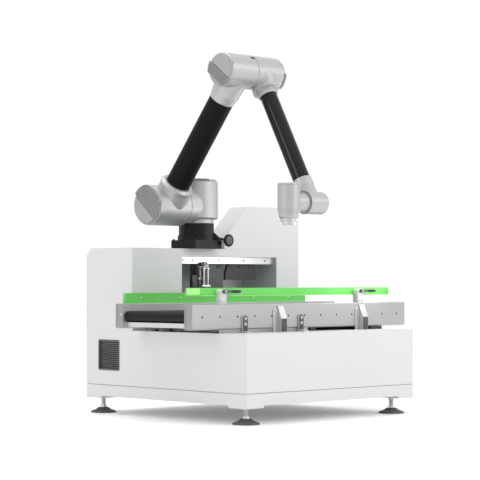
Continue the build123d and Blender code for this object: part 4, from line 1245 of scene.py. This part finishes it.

# Caps of the joints: moulded grey plastic with a smooth shield and a field of fins. A thin black plate
# crosses each field of fins at a set height over the cap's seat and shows in the slots; it is painted
# shade for the shadow deep in the slots.
cap_plastic = finish(
    "grey cap plastic",
    peel,
    coat(
        light=(0.40, 0.40, 0.40), dark=(0.33, 0.33, 0.33),
        roughness=0.42, spread=0.12, fine=800, patches=9,
    ),
    edge=((0.62, 0.62, 0.62, 1), 0.001, 0.7),
    Specular_IOR_Level=0.35,
)
dress(cap_plastic, "turret_cap", "shoulder_cap", "elbow_cap", "elbow_head_cap")
dress(silver, "wrist_cap")
fin_pitch = 0.0078
shade_plate_height = 0.0122
shade_plate_thickness = 0.001
for node, radius, body, outward, along, first_fin, fins in (
    ("turret_cap", 0.109, "turret", (0, 0, 1), (1, 1, 0), -9, 20),
    ("shoulder_cap", 0.099, "upper_arm", (-1, 0, 0), (0, -0.757, -0.654), -1, 12),
    ("elbow_cap", 0.080, "upper_arm", (-1, 0, 0), (0, -0.79, -0.61), -7, 7),
    ("elbow_head_cap", 0.080, "forearm", (1, 0, 0), (0, -0.87, -0.5), -5, 11),
):
    low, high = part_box(node)
    seat = low if sum(outward) > 0 else high
    middle = (low + high) / 2
    for axis in range(3):
        if outward[axis]:
            middle[axis] = seat[axis] + outward[axis] * shade_plate_height
    near = math.degrees(math.asin(first_fin * fin_pitch / radius))
    far = math.degrees(math.asin((first_fin + fins - 1) * fin_pitch / radius))
    outline = disc_outline(radius, 12, near, far) + disc_outline(radius, 12, 180 - far, 180 - near)
    # The black plate is painted shade: it darkens the slots between the fins, where only shadow lies on the
    # real cap.
    painted_slot_shade = bmesh.new()
    pressed(painted_slot_shade, outline, middle, along, outward, shade_plate_thickness)
    fit(node + "_painted_slot_shade", painted_slot_shade, black_oxide, body)

# Arm tubes: round tubes with a black coat, matt on the upper arm and glossy on the forearm. Thin
# black rings close the gap between each tube and its collars.
matt_tube = finish(
    "matt black tube",
    streaks,
    brushing(
        light=(0.007, 0.007, 0.007), dark=(0.003, 0.003, 0.003),
        roughness=0.5, spread=0.1, stretch=(260.0, 260.0, 4.0),
    ),
    bump=0.05,
    Specular_IOR_Level=0.12,
)
gloss_tube = finish(
    "gloss black tube",
    streaks,
    brushing(
        light=(0.008, 0.008, 0.009), dark=(0.003, 0.003, 0.003),
        roughness=0.16, spread=0.08, stretch=(260.0, 260.0, 4.0),
    ),
    bump=0.03,
    Specular_IOR_Level=0.3,
)
dress(matt_tube, "upper_arm_tube")
dress(gloss_tube, "forearm_tube")
upper_x = -0.339
fore_x = -0.183
for name, near_joint, far_joint, radius, tube_ends, body in (
    (
        "upper_tube_rings",
        Vector((upper_x, arm_y, shoulder_z)),
        Vector((upper_x, elbow_y, elbow_z)),
        0.063,
        (0.145, 0.669),
        "upper_arm",
    ),
    (
        "forearm_tube_rings",
        Vector((fore_x, elbow_y, elbow_z)),
        Vector((fore_x, wrist_y, wrist_z)),
        0.043,
        (0.135, 0.6256),
        "forearm",
    ),
):
    along = (far_joint - near_joint).normalized()
    rings = bmesh.new()
    for reach, way in zip(tube_ends, (1, -1)):
        seal_ring(rings, radius, 0.004, near_joint + along * reach, along * way, 0.0012)
    fit(name, rings, black_oxide, body)

# Tool head: a silver can with thin lines near both ends, over a stainless tool flange with a fine
# line round its middle.
flange_low, flange_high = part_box("tool_flange")
tool_x = (flange_low.x + flange_high.x) / 2
head_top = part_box("tool_head")[1].z
head_lines = bmesh.new()
for line_z in (head_top - 0.010, head_top - 0.132):
    seal_ring(head_lines, 0.055, 0.0012, (tool_x, wrist_y, line_z), (0, 0, 1), 0.0003)
fit("tool_head_lines", head_lines, seal_rubber, "tool_head")
dress(stainless, "tool_flange")
flange_line = bmesh.new()
seal_ring(flange_line, 0.041, 0.0012, (tool_x, wrist_y, flange_low.z + 0.018), (0, 0, 1), 0.0003)
fit("tool_flange_line", flange_line, seal_rubber, "tool_flange")
